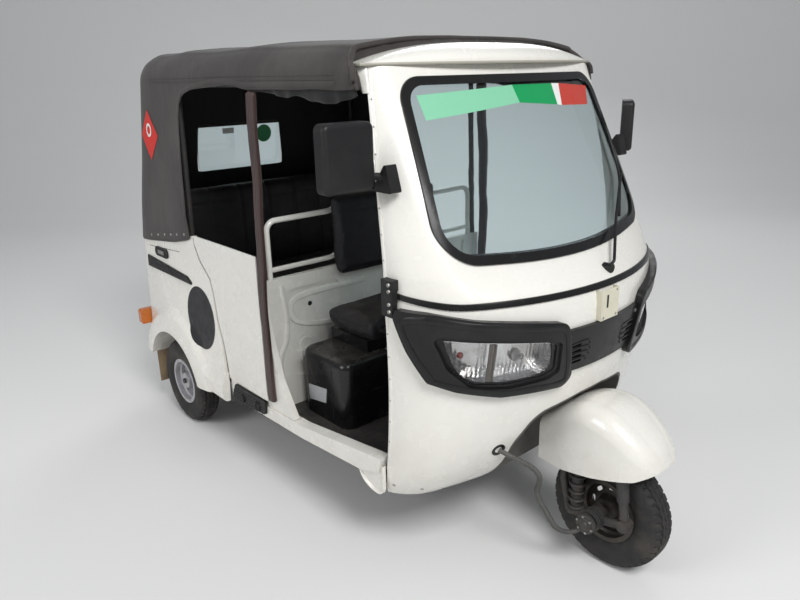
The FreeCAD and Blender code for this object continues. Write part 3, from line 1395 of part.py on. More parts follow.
def build_steering():
    axle_y, axle_z = mm("front_axle_y"), mm("tyre_radius")
    crown_z = 428
    corners = [(-108, yb(-98)), (96, yb(-60)), (96, yb(136)), (-108, yb(136))]
    crown = prism(corners, 14, "xy", crown_z, crown_z + 16)
    column = steer_bar(mm("column_radius"), crown_z + 4, mm("column_top"))
    x = -86
    link = tube([(x, yb(104), 184), (x, yb(30), 203), (x, yb(-40), 209), (x, yb(-104), 228)], [60, 60], 15)
    boss = Part.makeCylinder(34, 66, V(-128, axle_y, axle_z), V(1, 0, 0))
    cap = Part.makeCylinder(22, 24, V(-150, axle_y, axle_z), V(1, 0, 0))
    for i in range(3):
        boss = boss.fuse(Part.makeCylinder(38, 5, V(-122 + i * 11, axle_y, axle_z), V(1, 0, 0)))
    spindle = Part.makeCylinder(mm("axle_radius"), 112, V(-64, axle_y, axle_z), V(1, 0, 0))
    pan = Part.makeCylinder(29, 8, V(x, yb(78), 198), V(0, 0, 1))
    eye = Part.makeCylinder(20, 40, V(x - 20, yb(-104), 228), V(1, 0, 0))
    leg = tube([(x, yb(130), crown_z + 8), (x, yb(134), 300), (x, yb(104), 184)], 60, 13)
    fork = crown.fuse(column).fuse(link).fuse(boss).fuse(cap).fuse(spindle).fuse(pan).fuse(eye).fuse(leg)
    feature("steering_fork", solid(fork))

    spring = Part.makeCylinder(20, crown_z - 206.4, V(x, yb(78), 206.2), V(0, 0, 1))
    turns = 8
    for i in range(turns):
        spring = spring.fuse(Part.makeTorus(24, 5, V(x, yb(78), 212 + i * (crown_z - 224) / (turns - 1))))
    top = V(x, yb(-78), crown_z - 0.2)
    foot = V(x, yb(-100), 247)
    damper = Part.makeCylinder(15, (top - foot).Length * 0.62, foot, top - foot)
    sleeve_foot = foot + (top - foot) * 0.36
    damper = damper.fuse(Part.makeCylinder(20, (top - foot).Length * 0.6, sleeve_foot, top - foot))
    damper = damper.common(Part.makeBox(100, 200, crown_z - 0.2 - 240, V(-150, yb(-200), 240))).cut(eye)
    leg_clear = tube([(x, yb(130), crown_z + 8), (x, yb(134), 300), (x, yb(104), 184)], 60, 13.3)
    spring = spring.cut(leg_clear).cut(link)
    feature("front_springs", Part.makeCompound([solid(spring), solid(damper)]))

    shell = fender_form(0).cut(fender_form(-mm("fender_wall")))
    rear = Part.makeBox(400, 60, 400, V(-200, yb(226) - 0.01, 250))
    side = side_prism([(-260, 452), (-182, 436), (-130, 404), (10, 366), (124, 343), (240, 343), (240, 640),
                       (-260, 640)], [0, 30, 60, 200, 60, 0, 0, 0], -200, 200)
    shell = shell.cut(rear).common(side)
    inner_cut = fender_form(-mm("fender_wall"))
    shell = shell.cut(inner_cut).cut(steer_bar(mm("column_radius") + 1, 300, 800))
    bracket = Part.makeBox(60, 40, 160, V(-30, yb(-30), crown_z + 16.2))
    bracket = bracket.common(fender_form(-1))
    found = sorted(shell.fuse(bracket).Solids, key=lambda s: s.Volume)
    feature("front_fender", found[-1])

    r = mm("bar_radius")
    centre = steer_point(mm("column_top"))
    half = mm("bar_half")
    y, z = centre.y, centre.z + r - 1
    sweep = mm("bar_sweep")
    end, bend = (-half, y + sweep, z + 8), (-half + 124, y + sweep * 0.62, z + 6)
    route = [end, bend, (-64, y, z), (64, y, z), (-bend[0], bend[1], bend[2]), (half, end[1], end[2])]
    bar = tube(route, 40, r)
    stem = steer_bar(mm("column_radius") + 5, mm("column_top") - 40, mm("column_top") + 6)
    stem = stem.cut(steer_bar(mm("column_radius"), 300, mm("column_top")))
    pod = Part.makeCylinder(52, 46, V(0, y - 22, z + 6), V(0, 0.35, 0.94))
    clamp = bar.fuse(stem).fuse(pod).cut(steer_bar(mm("column_radius"), 300, mm("column_top")))
    feature("handlebar", solid(clamp))
    way = (V(*bend) - V(*end)).normalize()
    grip = Part.makeCylinder(mm("grip_radius"), 104, V(*end) - way * 4, way)
    grip = grip.cut(tube(route[:3], 40, r + 0.02))
    feature("grips", both(solid(grip)))


build_steering()

doc.recompute()


def check(items):
    """Stops on any failed object or empty shape."""
    failed = [item.Name for item in doc.Objects if "Invalid" in item.State or "Error" in item.State]
    empty = [item.Label for item in items if item.Shape.isNull() or not item.Shape.isValid()]
    if failed or empty:
        raise RuntimeError("failed: " + str(failed) + " no valid shape: " + str(empty))


check(pieces)
os.makedirs("parts", exist_ok=True)
for piece in pieces:
    piece.Shape.exportStep("parts/" + piece.Label + ".step")
    b = piece.Shape.BoundBox
    print("%-20s %2d solids  x %5.0f %5.0f  y %5.0f %5.0f  z %5.0f %5.0f" % (
        piece.Label, len(piece.Shape.Solids), b.XMin, b.XMax, b.YMin, b.YMax, b.ZMin, b.ZMax))
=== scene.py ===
import math

import bmesh
import bpy
from mathutils import Matrix, Vector, noise
from mathutils.bvhtree import BVHTree


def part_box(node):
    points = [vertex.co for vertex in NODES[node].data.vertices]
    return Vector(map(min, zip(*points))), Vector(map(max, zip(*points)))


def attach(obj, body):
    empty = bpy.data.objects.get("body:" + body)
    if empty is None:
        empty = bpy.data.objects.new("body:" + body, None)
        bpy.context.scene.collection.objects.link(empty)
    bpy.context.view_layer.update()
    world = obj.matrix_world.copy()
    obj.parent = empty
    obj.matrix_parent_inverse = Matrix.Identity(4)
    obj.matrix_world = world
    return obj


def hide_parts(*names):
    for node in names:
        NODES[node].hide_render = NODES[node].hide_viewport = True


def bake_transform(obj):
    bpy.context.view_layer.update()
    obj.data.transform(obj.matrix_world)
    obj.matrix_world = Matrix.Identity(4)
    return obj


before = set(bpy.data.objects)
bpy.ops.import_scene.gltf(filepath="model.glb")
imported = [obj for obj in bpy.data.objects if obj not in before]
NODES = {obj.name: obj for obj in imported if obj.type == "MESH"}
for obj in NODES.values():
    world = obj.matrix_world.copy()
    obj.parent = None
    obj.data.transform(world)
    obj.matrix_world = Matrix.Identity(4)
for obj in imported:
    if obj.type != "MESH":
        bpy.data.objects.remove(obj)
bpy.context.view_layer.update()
# All is in metres; s is a distance behind the front axle, z a height, x is to the left
AXLE_Y, REAR_AXLE_S, HALF_TRACK = -1.110, 1.985, 0.575
HANDS = ((-1, "right"), (1, "left"))


# Numbers and lines

def ramp(value):
    """A value held between 0 and 1."""
    return max(0.0, min(1.0, value))


def along(table, value):
    """Straight interpolation in a table of pairs."""
    if value <= table[0][0]:
        return table[0][1]
    for (a, p), (b, q) in zip(table, table[1:]):
        if value <= b:
            return p + (q - p) * (value - a) / (b - a)
    return table[-1][1]


def catmull(rows, t):
    """A smooth value along rows of numbers; t counts rows."""
    i = max(0, min(int(t), len(rows) - 2))
    f = t - i
    near = [rows[max(0, min(k, len(rows) - 1))] for k in range(i - 1, i + 3)]
    return [0.5 * (2 * b + (c - a) * f + (2 * a - 5 * b + 4 * c - d) * f * f
                   + (3 * b - a - 3 * c + d) * f ** 3) for a, b, c, d in zip(*near)]


def spaced(first, last, steps):
    """Evenly spaced numbers with both ends."""
    return [first + (last - first) * k / (steps - 1) for k in range(steps)]


def route(points, steps):
    """Evenly spaced places along a broken line."""
    spans = [math.dist(a, b) for a, b in zip(points, points[1:])]
    total, made = sum(spans), []
    for k in range(steps):
        left = total * k / (steps - 1)
        for a, b, span in zip(points, points[1:], spans):
            if left <= span or b is points[-1]:
                f = min(1.0, left / span)
                made.append(tuple(p + (q - p) * f for p, q in zip(a, b)))
                break
            left -= span
    return made


def smooth_route(points, steps):
    """Evenly counted places along a smooth curve through points."""
    return [tuple(catmull(points, (len(points) - 1) * k / (steps - 1))) for k in range(steps)]


def circle(steps, start=0.0):
    """Cosine and sine of evenly spaced turns."""
    turns = [start + 2 * math.pi * k / steps for k in range(steps)]
    return [(math.cos(a), math.sin(a)) for a in turns]


def circle_through(a, b, c):
    (ax, ay), (bx, by), (cx, cy) = a, b, c
    d = 2 * (ax * (by - cy) + bx * (cy - ay) + cx * (ay - by))
    p, q, r = ax * ax + ay * ay, bx * bx + by * by, cx * cx + cy * cy
    x = (p * (by - cy) + q * (cy - ay) + r * (ay - by)) / d
    y = (p * (cx - bx) + q * (ax - cx) + r * (bx - ax)) / d
    return x, y, math.dist((x, y), a)


# Meshes

def grid_faces(rows, columns, wrap_rows=False, wrap_columns=False):
    faces = []
    for i in range(rows if wrap_rows else rows - 1):
        for j in range(columns if wrap_columns else columns - 1):
            here, there = i * columns, ((i + 1) % rows) * columns
            faces.append((here + j, here + (j + 1) % columns, there + (j + 1) % columns, there + j))
    return faces


def tube_faces(rows, columns, start=0):
    """The faces of a tube of rings that is closed at both ends."""
    faces = grid_faces(rows, columns, wrap_columns=True)
    faces += [tuple(range(columns)), tuple(range((rows - 1) * columns, rows * columns))]
    return [tuple(start + k for k in face) for face in faces]


def modifier(obj, kind, **values):
    made = obj.modifiers.new(kind.lower(), kind)
    for key, value in values.items():
        setattr(made, key, value)
    return made


def split_edges(obj, angle):
    modifier(obj, "EDGE_SPLIT", split_angle=math.radians(angle))


def subdivide(obj):
    modifier(obj, "SUBSURF", levels=1, render_levels=1)


def weld(data, distance, turn_out=False):
    """Joins points that lie at one place; turn_out also makes all faces look outwards."""
    bm = bmesh.new()
    bm.from_mesh(data)
    bmesh.ops.remove_doubles(bm, verts=bm.verts, dist=distance)
    if turn_out:
        bmesh.ops.recalc_face_normals(bm, faces=bm.faces)
    bm.to_mesh(data)
    bm.free()


def mesh_piece(name, points, faces, look, body="chassis", split=None, thick=None, smooth=True):
    """A piece with a look and that look's slot; it rides on a body."""
    data = bpy.data.meshes.new(name)
    data.from_pydata([tuple(p) for p in points], [], faces)
    data.validate()
    weld(data, 1e-6, turn_out=True)
    for face in data.polygons:
        face.use_smooth = smooth
    obj = bpy.data.objects.new(name, data)
    bpy.context.scene.collection.objects.link(obj)
    obj.data.materials.append(M[look])
    if body:
        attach(obj, body)
    if split:
        split_edges(obj, split)
    if thick:
        modifier(obj, "SOLIDIFY", thickness=thick, offset=0)
    return obj


def frame_at(centre, normal):
    """A matrix whose Z points along the normal."""
    z = Vector(normal).normalized()
    x = Vector((0, 0, 1)).cross(z)
    if x.length < 1e-4:
        x = Vector((1, 0, 0)).cross(z)
    x.normalize()
    turned = Matrix((x, z.cross(x), z)).transposed().to_4x4()
    return Matrix.Translation(Vector(centre)) @ turned


def heads(name, spots, profile, look="steel", body="chassis", slot=None, steps=12, split=42):
    """Turned forms at (place, normal) spots as one piece; the profile is (radius, height)."""
    points, faces = [], []
    for place, normal in [spot for spot in spots if spot]:
        turned = frame_at(place, normal)
        faces += tube_faces(len(profile), steps, len(points))
        points += [turned @ Vector((radius * c, radius * s, height))
                   for radius, height in profile for c, s in circle(steps)]
    return mesh_piece(name, points, faces, look, body, split)


def turned_solid(name, profile, place, normal, look, **more):
    return heads(name, [(place, normal)], profile, look, **{"steps": 20, "split": 40, **more})


def tube_along(name, places, look, radius, around=8, reference=(0.13, 0.9, 0.4), body="chassis"):
    """A round tube along places; radius(k) is its radius at the k-th."""
    points, count = [], len(places)
    for k, place in enumerate(places):
        ahead = (places[min(k + 1, count - 1)] - places[max(k - 1, 0)]).normalized()
        side = ahead.cross(Vector(reference)).normalized()
        up = side.cross(ahead)
        points += [place + side * radius(k) * c + up * radius(k) * s for c, s in circle(around)]
    return mesh_piece(name, points, tube_faces(count, around), look, body)


def dome_profile(radius, height):
    return [(radius, -0.002)] + [(radius * math.cos(a), height * math.sin(a)) for a in (0.0, 0.45, 0.9, 1.3)]


def hex_profile(radius, height):
    return [(radius, -0.002), (radius, height * 0.8), (radius * 0.86, height)]


# Materials

class Shade:
    """A procedural material on the Principled shader, in metres of the frame."""

    def __init__(self, name, colour, rough=0.5, metal=0.0, **sockets):
        self.made = bpy.data.materials.new(name)
        self.made.use_nodes = True
        self.tree = self.made.node_tree
        self.shader = self.tree.nodes["Principled BSDF"]
        self.colour = (*colour, 1)
        sockets.update(Base_Color=self.colour, Roughness=rough, Metallic=metal)
        for key, value in sockets.items():
            self.shader.inputs[key.replace("_", " ")].default_value = value
        self.place = self.tree.nodes.new("ShaderNodeTexCoord").outputs["Object"]
        self.made.diffuse_color = self.colour

    def node(self, kind, inputs, **values):
        made = self.tree.nodes.new("ShaderNode" + kind)
        for key, value in values.items():
            setattr(made, key, value)
        for key, value in inputs.items():
            if isinstance(value, bpy.types.NodeSocket):
                self.tree.links.new(value, made.inputs[key])
            else:
                made.inputs[key].default_value = value
        return made

    def where(self, stretch):
        if stretch is None:
            return self.place
        return self.node("Mapping", {"Vector": self.place, "Scale": stretch}).outputs["Vector"]

    def noise(self, scale, detail=4.0, rough=0.5, stretch=None):
        return self.node("TexNoise", {"Vector": self.where(stretch), "Scale": scale, "Detail": detail,
                                      "Roughness": rough}).outputs["Fac"]

    def wave(self, scale, axis, stretch=None):
        return self.node("TexWave", {"Vector": self.where(stretch), "Scale": scale},
                         bands_direction=axis).outputs["Fac"]

    def span(self, value, low, high, to_low=0.0, to_high=1.0):
        """Maps a value between two limits, clamped."""
        return self.node("MapRange", {"Value": value, "From Min": low, "From Max": high,
                                      "To Min": to_low, "To Max": to_high}).outputs["Result"]

    def times(self, a, b):
        return self.node("Math", {0: a, 1: b}, operation="MULTIPLY").outputs[0]

    def height(self, vector):
        return self.node("SeparateXYZ", {"Vector": vector}).outputs["Z"]

    def tint(self, factor, colour):
        """Lays a colour over what the base colour has now."""
        base = self.shader.inputs["Base Color"]
        under = base.links[0].from_socket if base.links else self.colour
        mix = self.node("Mix", {"Factor": factor, "A": under, "B": (*colour, 1)}, data_type="RGBA")
        self.tree.links.new(mix.outputs["Result"], base)
        return self

    def bump(self, height, strength, distance):
        normal = self.shader.inputs["Normal"]
        inputs = {"Height": height, "Strength": strength, "Distance": distance}
        if normal.links:
            inputs["Normal"] = normal.links[0].from_socket
        self.tree.links.new(self.node("Bump", inputs).outputs["Normal"], normal)
        return self

    # In these three, grain is what noise() takes, and low and high are the noise's limits

    def worn(self, colour, amount, low, high, *grain):
        return self.tint(self.span(self.noise(*grain), low, high, 0.0, amount), colour)

    def roughened(self, least, most, low, high, *grain):
        rough = self.span(self.noise(*grain), low, high, least, most)
        self.tree.links.new(rough, self.shader.inputs["Roughness"])
        return self

    def grained(self, strength, distance, *grain):
        return self.bump(self.noise(*grain), strength, distance)

    def ribbed(self, strength, distance, *wave):
        return self.bump(self.wave(*wave), strength, distance)

    def road_dust(self, top, amount, colour):
        """Dust that thickens towards the ground."""
        height = self.span(self.height(self.place), top, top * 0.25)
        cloud = self.span(self.noise(9, 6, 0.65), 0.35, 0.72)
        return self.tint(self.times(self.times(height, cloud), amount), colour)

    def top_dust(self, amount):
        """Dust that lies on what faces up."""
        up = self.span(self.height(self.node("NewGeometry", {}).outputs["Normal"]), 0.55, 0.97)
        cloud = self.span(self.noise(11, 6, 0.62), 0.30, 0.72)
        return self.tint(self.times(self.times(up, cloud), amount), (0.135, 0.12, 0.10))

    def weave(self, axes, pitch, strength):
        """Over-and-under threads along two axes of the frame."""
        first, second = [self.wave(1.0 / pitch * 0.16, axis) for axis in axes]
        return self.bump(self.times(first, second), strength, 0.0006)


def plain(name, colour, rough=0.4, speck=0.12):
    """One clean colour with light wear, for stickers and small printed places."""
    dull = tuple(c * 0.55 + 0.06 for c in colour)
    return Shade(name, colour, rough).worn(dull, speck * 3, 0.55, 0.78, 40, 7, 0.7) \
        .roughened(rough - 0.06, rough + 0.12, 0.3, 0.7, 25, 4)


def plastic(name, level, rough, grain):
    return Shade(name, (level, level, level * 1.05), rough, Specular_IOR_Level=0.3) \
        .worn((level * 2.6, level * 2.5, level * 2.4), 0.5, 0.45, 0.75, 7, 6, 0.6) \
        .worn((0.10, 0.093, 0.082), 0.22, 0.66, 0.84, 60, 8, 0.75) \
        .roughened(rough - 0.06, rough + 0.12, 0.3, 0.7, 30, 5).grained(0.18, 0.0004, grain, 2)


def canvas(name, colour, dust):
    return Shade(name, colour, 0.78, Sheen_Weight=0.15, Sheen_Roughness=0.5) \
        .worn(dust, 0.7, 0.42, 0.72, 3.2, 6, 0.6) \
        .worn((dust[0] * 1.35, dust[1] * 1.32, dust[2] * 1.3), 0.32, 0.55, 0.78, 4, 7, 0.72, (6, 6, 1.6)) \
        .worn((0.013, 0.011, 0.010), 0.4, 0.6, 0.78, 46, 7, 0.7) \
        .weave("YZ", 0.0022, 0.18).weave("XZ", 0.0022, 0.10) \
        .grained(0.5, 0.006, 11, 5, 0.6, (1, 1, 0.45)).grained(0.16, 0.003, 26, 4, 0.6, (1, 1, 0.7))


def vinyl(name, colour, rough, grain):
    shade = Shade(name, colour, rough, Specular_IOR_Level=0.34) \
        .worn(tuple(c * 2.1 for c in colour), 0.6, 0.42, 0.75, 6, 6) \
        .worn((0.12, 0.11, 0.095), 0.14, 0.66, 0.82, 80, 8, 0.7).top_dust(0.42)
    cells = shade.node("TexVoronoi", {"Vector": shade.place, "Scale": grain}, feature="DISTANCE_TO_EDGE")
    shade.bump(shade.span(cells.outputs["Distance"], 0.0, 0.25), 0.28, 0.0005)
    return shade.roughened(rough - 0.1, rough + 0.14, 0.3, 0.7, 22, 5)


def rim_paint(name, colour, dirt):
    return Shade(name, colour, 0.36, 0.55).worn((0.11, 0.088, 0.066), dirt, 0.45, 0.75, 20, 8, 0.7) \
        .roughened(0.3, 0.75, 0.35, 0.7, 26, 6).grained(0.15, 0.0005, 200, 5)


def bare_metal(name, colour, rough):
    return Shade(name, colour, rough, 1.0).worn((0.09, 0.07, 0.05), 0.4, 0.45, 0.75, 30, 8, 0.7) \
        .grained(0.12, 0.0005, 300, 4, 0.5, (1, 1, 6))


def clear_glass(name, colour, rough=0.015):
    return Shade(name, colour, rough, Transmission_Weight=1.0, IOR=1.45) \
        .roughened(rough, rough + 0.05, 0.4, 0.8, 5, 6, 0.7)


def tinted_lens(name, colour):
    return Shade(name, colour, 0.16, Transmission_Weight=0.45, IOR=1.49, Coat_Weight=0.4) \
        .ribbed(0.5, 0.002, 36.0, "Z")


SHADES = {
    "cream": plain("bracket_cream", (0.66, 0.63, 0.50), 0.42),
    "mint": plain("band_mint", (0.22, 0.56, 0.36), 0.35, 0.05),
    "green": plain("band_green", (0.0, 0.30, 0.085), 0.35, 0.05),
    "pale": plain("band_white", (0.78, 0.79, 0.76), 0.35, 0.05),
    "red_band": plain("band_red", (0.50, 0.045, 0.028), 0.35, 0.05),
    "red_cloth": plain("badge_red", (0.62, 0.030, 0.022), 0.5, 0.15),
    # Black print on badges and seams, also used as painted shade where a hole or slot is drawn
    "ink": plain("badge_black_and_painted_shade", (0.009, 0.009, 0.011), 0.5, 0.04),
    # Painted shade: the wheel well's liner gets a dark grey that stands for the shadow inside the arch, with
    # some dirt; its specks are wear
    "well": plain("well_painted_shade_and_dirt", (0.10, 0.093, 0.083), 0.72, 0.3),
    "silver": plain("label_silver", (0.42, 0.43, 0.44), 0.3, 0.25),
    "divider": plain("lamp_divider", (0.20, 0.165, 0.13), 0.35, 0.1),
    "hose": plain("hose_grey", (0.082, 0.080, 0.074), 0.55, 0.3),
    # Partly painted shade: the visor lip's grey-beige is partly the strip's own colour and partly the dark
    # line of shade under the visor's edge
    "lip": plain("visor_lip", (0.36, 0.345, 0.29), 0.42, 0.2),
    "flute": Shade("lamp_reflector", (0.74, 0.74, 0.75), 0.20, 1.0)
    .ribbed(0.22, 0.003, 26.0, "X", (1, 1, 0.12))
    .worn((0.24, 0.215, 0.19), 0.75, 0.38, 0.7, 7, 3).roughened(0.16, 0.34, 0.3, 0.7, 16, 3),
    "white": Shade("paint_white", (0.80, 0.785, 0.73), 0.27, Coat_Weight=0.6, Coat_Roughness=0.07)
    .worn((0.74, 0.72, 0.655), 0.4, 0.35, 0.7, 2.2, 3)
    .worn((0.60, 0.56, 0.47), 0.09, 0.58, 0.85, 5, 6, 0.6)
    .worn((0.60, 0.56, 0.48), 0.12, 0.62, 0.88, 4, 5, 0.6, (11, 11, 0.7))
    .road_dust(0.66, 0.45, (0.47, 0.41, 0.32))
    .roughened(0.23, 0.31, 0.3, 0.75, 14, 5).grained(0.08, 0.002, 4, 1),
    "plastic": plastic("plastic_black", 0.012, 0.46, 1400),
    "bezel": plastic("bezel_plastic", 0.0105, 0.33, 1200),
    "rubber": Shade("rubber_black", (0.008, 0.008, 0.008), 0.24, Specular_IOR_Level=0.36)
    .worn((0.035, 0.034, 0.032), 0.3, 0.55, 0.8, 40, 6).grained(0.12, 0.0004, 700, 3),
    "tan": Shade("rubber_tan", (0.30, 0.215, 0.13), 0.75)
    .worn((0.16, 0.12, 0.085), 0.7, 0.4, 0.75, 14, 6).grained(0.2, 0.0008, 160, 5),
    "tyre": Shade("tyre_rubber", (0.017, 0.017, 0.0175), 0.8)
    .worn((0.052, 0.046, 0.039), 0.6, 0.42, 0.72, 26, 8, 0.7)
    .worn((0.12, 0.10, 0.078), 0.3, 0.5, 0.7, 8, 4).grained(0.25, 0.0006, 500, 4),
    "canvas": canvas("canvas", (0.026, 0.0215, 0.0195), (0.062, 0.055, 0.049)),
    "lining": canvas("canvas_lining", (0.0075, 0.007, 0.007), (0.018, 0.017, 0.016)),
    "wrap": Shade("brown_wrap", (0.034, 0.0165, 0.0145), 0.5, Sheen_Weight=0.1)
    .worn((0.066, 0.036, 0.031), 0.55, 0.4, 0.75, 10, 6, 0.65, (1, 1, 0.35))
    .worn((0.022, 0.011, 0.010), 0.45, 0.58, 0.78, 50, 7, 0.7)
    .weave("YZ", 0.0018, 0.2).grained(0.45, 0.003, 60, 6, 0.6, (1, 1, 0.12)),
    # Partly painted shade: the seats' black is set darker than the vinyl's own, for the shadow the seats sit
    # in inside the cabin
    "vinyl": vinyl("seat_vinyl", (0.0105, 0.0105, 0.012), 0.48, 520),
    "box": Shade("moulded_box", (0.0048, 0.0048, 0.0058), 0.22, Specular_IOR_Level=0.46)
    .worn((0.022, 0.020, 0.018), 0.30, 0.5, 0.8, 9, 5, 0.6).top_dust(0.5)
    .roughened(0.17, 0.33, 0.3, 0.7, 12, 4).grained(0.03, 0.0003, 700, 2),
    "chassis": Shade("chassis_paint", (0.028, 0.028, 0.028), 0.5)
    .worn((0.13, 0.065, 0.035), 0.35, 0.5, 0.75, 24, 8, 0.7).road_dust(0.55, 0.45, (0.12, 0.102, 0.083))
    .roughened(0.42, 0.8, 0.3, 0.7, 30, 6).grained(0.3, 0.0008, 240, 6),
    "rim": rim_paint("rim_silver", (0.50, 0.50, 0.52), 0.5),
    "front_rim": rim_paint("rim_dusty", (0.055, 0.050, 0.045), 0.7),
    "alloy": bare_metal("cast_alloy", (0.42, 0.42, 0.42), 0.5),
    "steel": bare_metal("bare_steel", (0.4, 0.39, 0.37), 0.42),
    "glass": clear_glass("screen_glass", (0.70, 0.82, 0.84)),
    "lens": clear_glass("lamp_glass", (0.97, 0.98, 0.98), 0.03),
    "amber": tinted_lens("amber_lens", (0.72, 0.2, 0.02)),
    "red": tinted_lens("red_lens", (0.5, 0.012, 0.01)),
}
M = {look: shade.made for look, shade in SHADES.items()}

NODE_LOOKS = {
    "white": "cowl roof_header rear_body sills bulkhead grab_rails passenger_bench side_panel engine_cover "
             "front_fender",
    "chassis": "chassis_frame floor_pan rear_deck canopy_hoops rear_arms rear_dampers rear_bumper "
               "steering_fork front_springs handlebar",
    "plastic": "step_pads mirrors hinge_blocks dashboard wiper side_mouldings",
    "vinyl": "driver_cushion driver_backrest passenger_cushion passenger_backrest",
    "rubber": "windshield_seal belt_moulding grips", "glass": "windshield rear_window",
    "bezel": "lamp_bezels nose_grille", "steel": "silencer cover_hinges",
    "tyre": "front_tyre rear_right_tyre rear_left_tyre", "rim": "rear_right_rim rear_left_rim",
    "well": "wheel_well", "lens": "headlamp_lenses", "flute": "lamp_bowls", "cream": "plate_bracket",
    "canvas": "canopy", "box": "driver_seat_box", "wrap": "pillar_wraps", "alloy": "engine_block",
    "tan": "mud_flaps", "amber": "rear_lamps", "front_rim": "front_rim",
}


def dress_nodes():
    """Gives the CAD solids their looks, smooth apart from their sharp edges."""
    for look, names in NODE_LOOKS.items():
        for obj in [NODES[name] for name in names.split()]:
            obj.data.materials.clear()
            obj.data.materials.append(M[look])
            for face in obj.data.polygons:
                face.use_smooth = True
            modifier(obj, "WELD", merge_threshold=0.00005)
            split_edges(obj, 35)


# Canvas roof

EAVES, SHOULDER, ROOF_RISE = 1.592, 0.868, 0.148
# The front edge of the canvas, and how far it stands off the CAD's outer form
CANVAS_FRONT, CANVAS_LIFT, GUSSET_LIFT = 0.569, 0.009, 0.007
# The rear edge of the doorways, and the height where the walls behind them end
OPENING_REAR, WALL_TOP = 1.757, 1.44
# Above the eaves: share of the rise, inset of the sides, inset of the back
ROOF_ROWS = [(-0.12, -0.0008, -0.001), (0, 0, 0), (0.3, 0.003, 0.014), (0.58, 0.019, 0.042),
             (0.78, 0.049, 0.084), (0.9, 0.093, 0.134), (1.0, 0.300, 0.350), (1.0, 0.590, 0.620)]
# Half width, back end and corner radius of the canvas at the shoulder and at the eaves
FOOT_PLAN, EAVES_PLAN = (0.611, 2.372, 0.130), (0.575, 2.292, 0.208)
# How far the front edge leans back: height, distance
FRONT_LEAN = [(1.577, 0.0), (1.650, 0.012), (1.712, 0.072), (1.745, 0.078)]
# Lower edge of the canvas behind the doorway and above the doorways: s, height
HEM_LOW = [(1.70, 0.962), (1.92, 0.914), (2.206, 0.881), (2.46, 0.868)]
HEM_TOP = [(0.56, 1.577), (1.20, 1.575), (1.30, 1.592), (1.43, 1.588), (1.62, 1.572), (1.70, 1.560),
           (1.735, 1.535), (1.750, 1.500), (OPENING_REAR, WALL_TOP)]
OPENING_EDGE = [(0.96, 1.722), (1.065, 1.752), (1.293, OPENING_REAR), (1.44, OPENING_REAR)]
HOOPS = [0.60, 1.19, 1.79, 2.10]
WINDOW_HALF, WINDOW_FOOT, WINDOW_TOP = 0.245, 1.15, 1.378
SHEET_WIDTH, CANVAS_THICKNESS = 2.3, 0.0032


def plan_point(column, half, rear, radius, front):
    """A point of a plan outline: column 0..1 right side, 1..2 corner, 2..3 back, then the left alike."""
    radius = max(min(radius, half), 0.0)
    side = -1
    if column > 3:
        column, side = 6 - column, 1
    if column < 1:
        return side * half, front + (rear - radius - front) * column
    if column < 2:
        turn = (column - 1) * math.pi / 2
        return side * (half - radius + radius * math.cos(turn)), rear - radius + radius * math.sin(turn)
    return side * (half - radius) * (3 - column), rear


def canvas_point(column, height_row, lift):
    """A point on the canopy above the eaves; height_row counts ROOF_ROWS."""
    share, side, back = catmull(ROOF_ROWS, height_row)
    wide, end, corner = EAVES_PLAN
    z = EAVES + share * ROOF_RISE + lift * 0.2 - 0.002
    x, s = plan_point(column, max(wide - side + lift, 0.0), end - back + lift, corner + lift,
                      CANVAS_FRONT + along(FRONT_LEAN, z))
    return Vector((x, AXLE_Y + s, z))


def wall_plan(z):
    """Half width, back end and corner radius of the leaning walls at a height."""
    share = (z - SHOULDER) / (EAVES - SHOULDER)
    return [a + (b - a) * share for a, b in zip(FOOT_PLAN, EAVES_PLAN)]


def wall_point(column, z, lift):
    half, rear, corner = wall_plan(z)
    x, s = plan_point(column, half + lift, rear + lift, corner + lift, CANVAS_FRONT)
    return Vector((x, AXLE_Y + s, z))


def front_drop(place):
    """The roof comes down a little towards its front edge."""
    near = ramp((0.98 - (place.y - AXLE_Y)) / 0.40)
    high = ramp((place.z - 1.63) / 0.05)
    return near * near * high * (0.009 + 0.016 * min(1.0, abs(place.x) / 0.5) ** 2)


def crumpled(place, outward):
    """The canvas hangs between the hoops and creases on its walls."""
    s, drop = place.y - AXLE_Y, 0.0
    for a, b in zip(HOOPS, HOOPS[1:]):
        if a < s < b:
            drop = math.sin(math.pi * (s - a) / (b - a)) ** 1.5
    top = ramp((place.z - 1.66) / 0.05)
    broad = noise.noise(place * 3.1 + Vector((4, 1, 7)))
    fine = noise.noise(Vector((place.x * 9, place.y * 9, place.z * 2.2)))
    fold = abs(noise.noise(Vector((place.x * 5 + 3, place.y * 7, place.z * 1.4))))
    out = (1.0 - top) * (0.0045 * broad + 0.003 * fine - 0.006 * (0.5 - fold) * ramp((1.60 - place.z) / 0.2))
    down = top * (-0.0085 * drop + 0.003 * broad + 0.0015 * fine)
    return place + outward * out + Vector((0, 0, down - front_drop(place)))


def canopy_columns():
    """Columns of the sheet as (column, s, column of the right half)."""
    side = [0.0] + [0.035 * k for k in range(1, 23)] + [0.80, 0.825, 0.85, 0.875, 0.9, 0.925, 0.95, 0.975]
    right = side + [1 + k / 9 for k in range(9)] + [2 + k / 12 for k in range(13)]
    span = EAVES_PLAN[1] - EAVES_PLAN[2] - CANVAS_FRONT
    return [(c, CANVAS_FRONT + span * near if near <= 1 else 2.3, near)
            for c, near in [(c, min(c, 6 - c)) for c in right + [6 - c for c in reversed(right[:-1])]]]


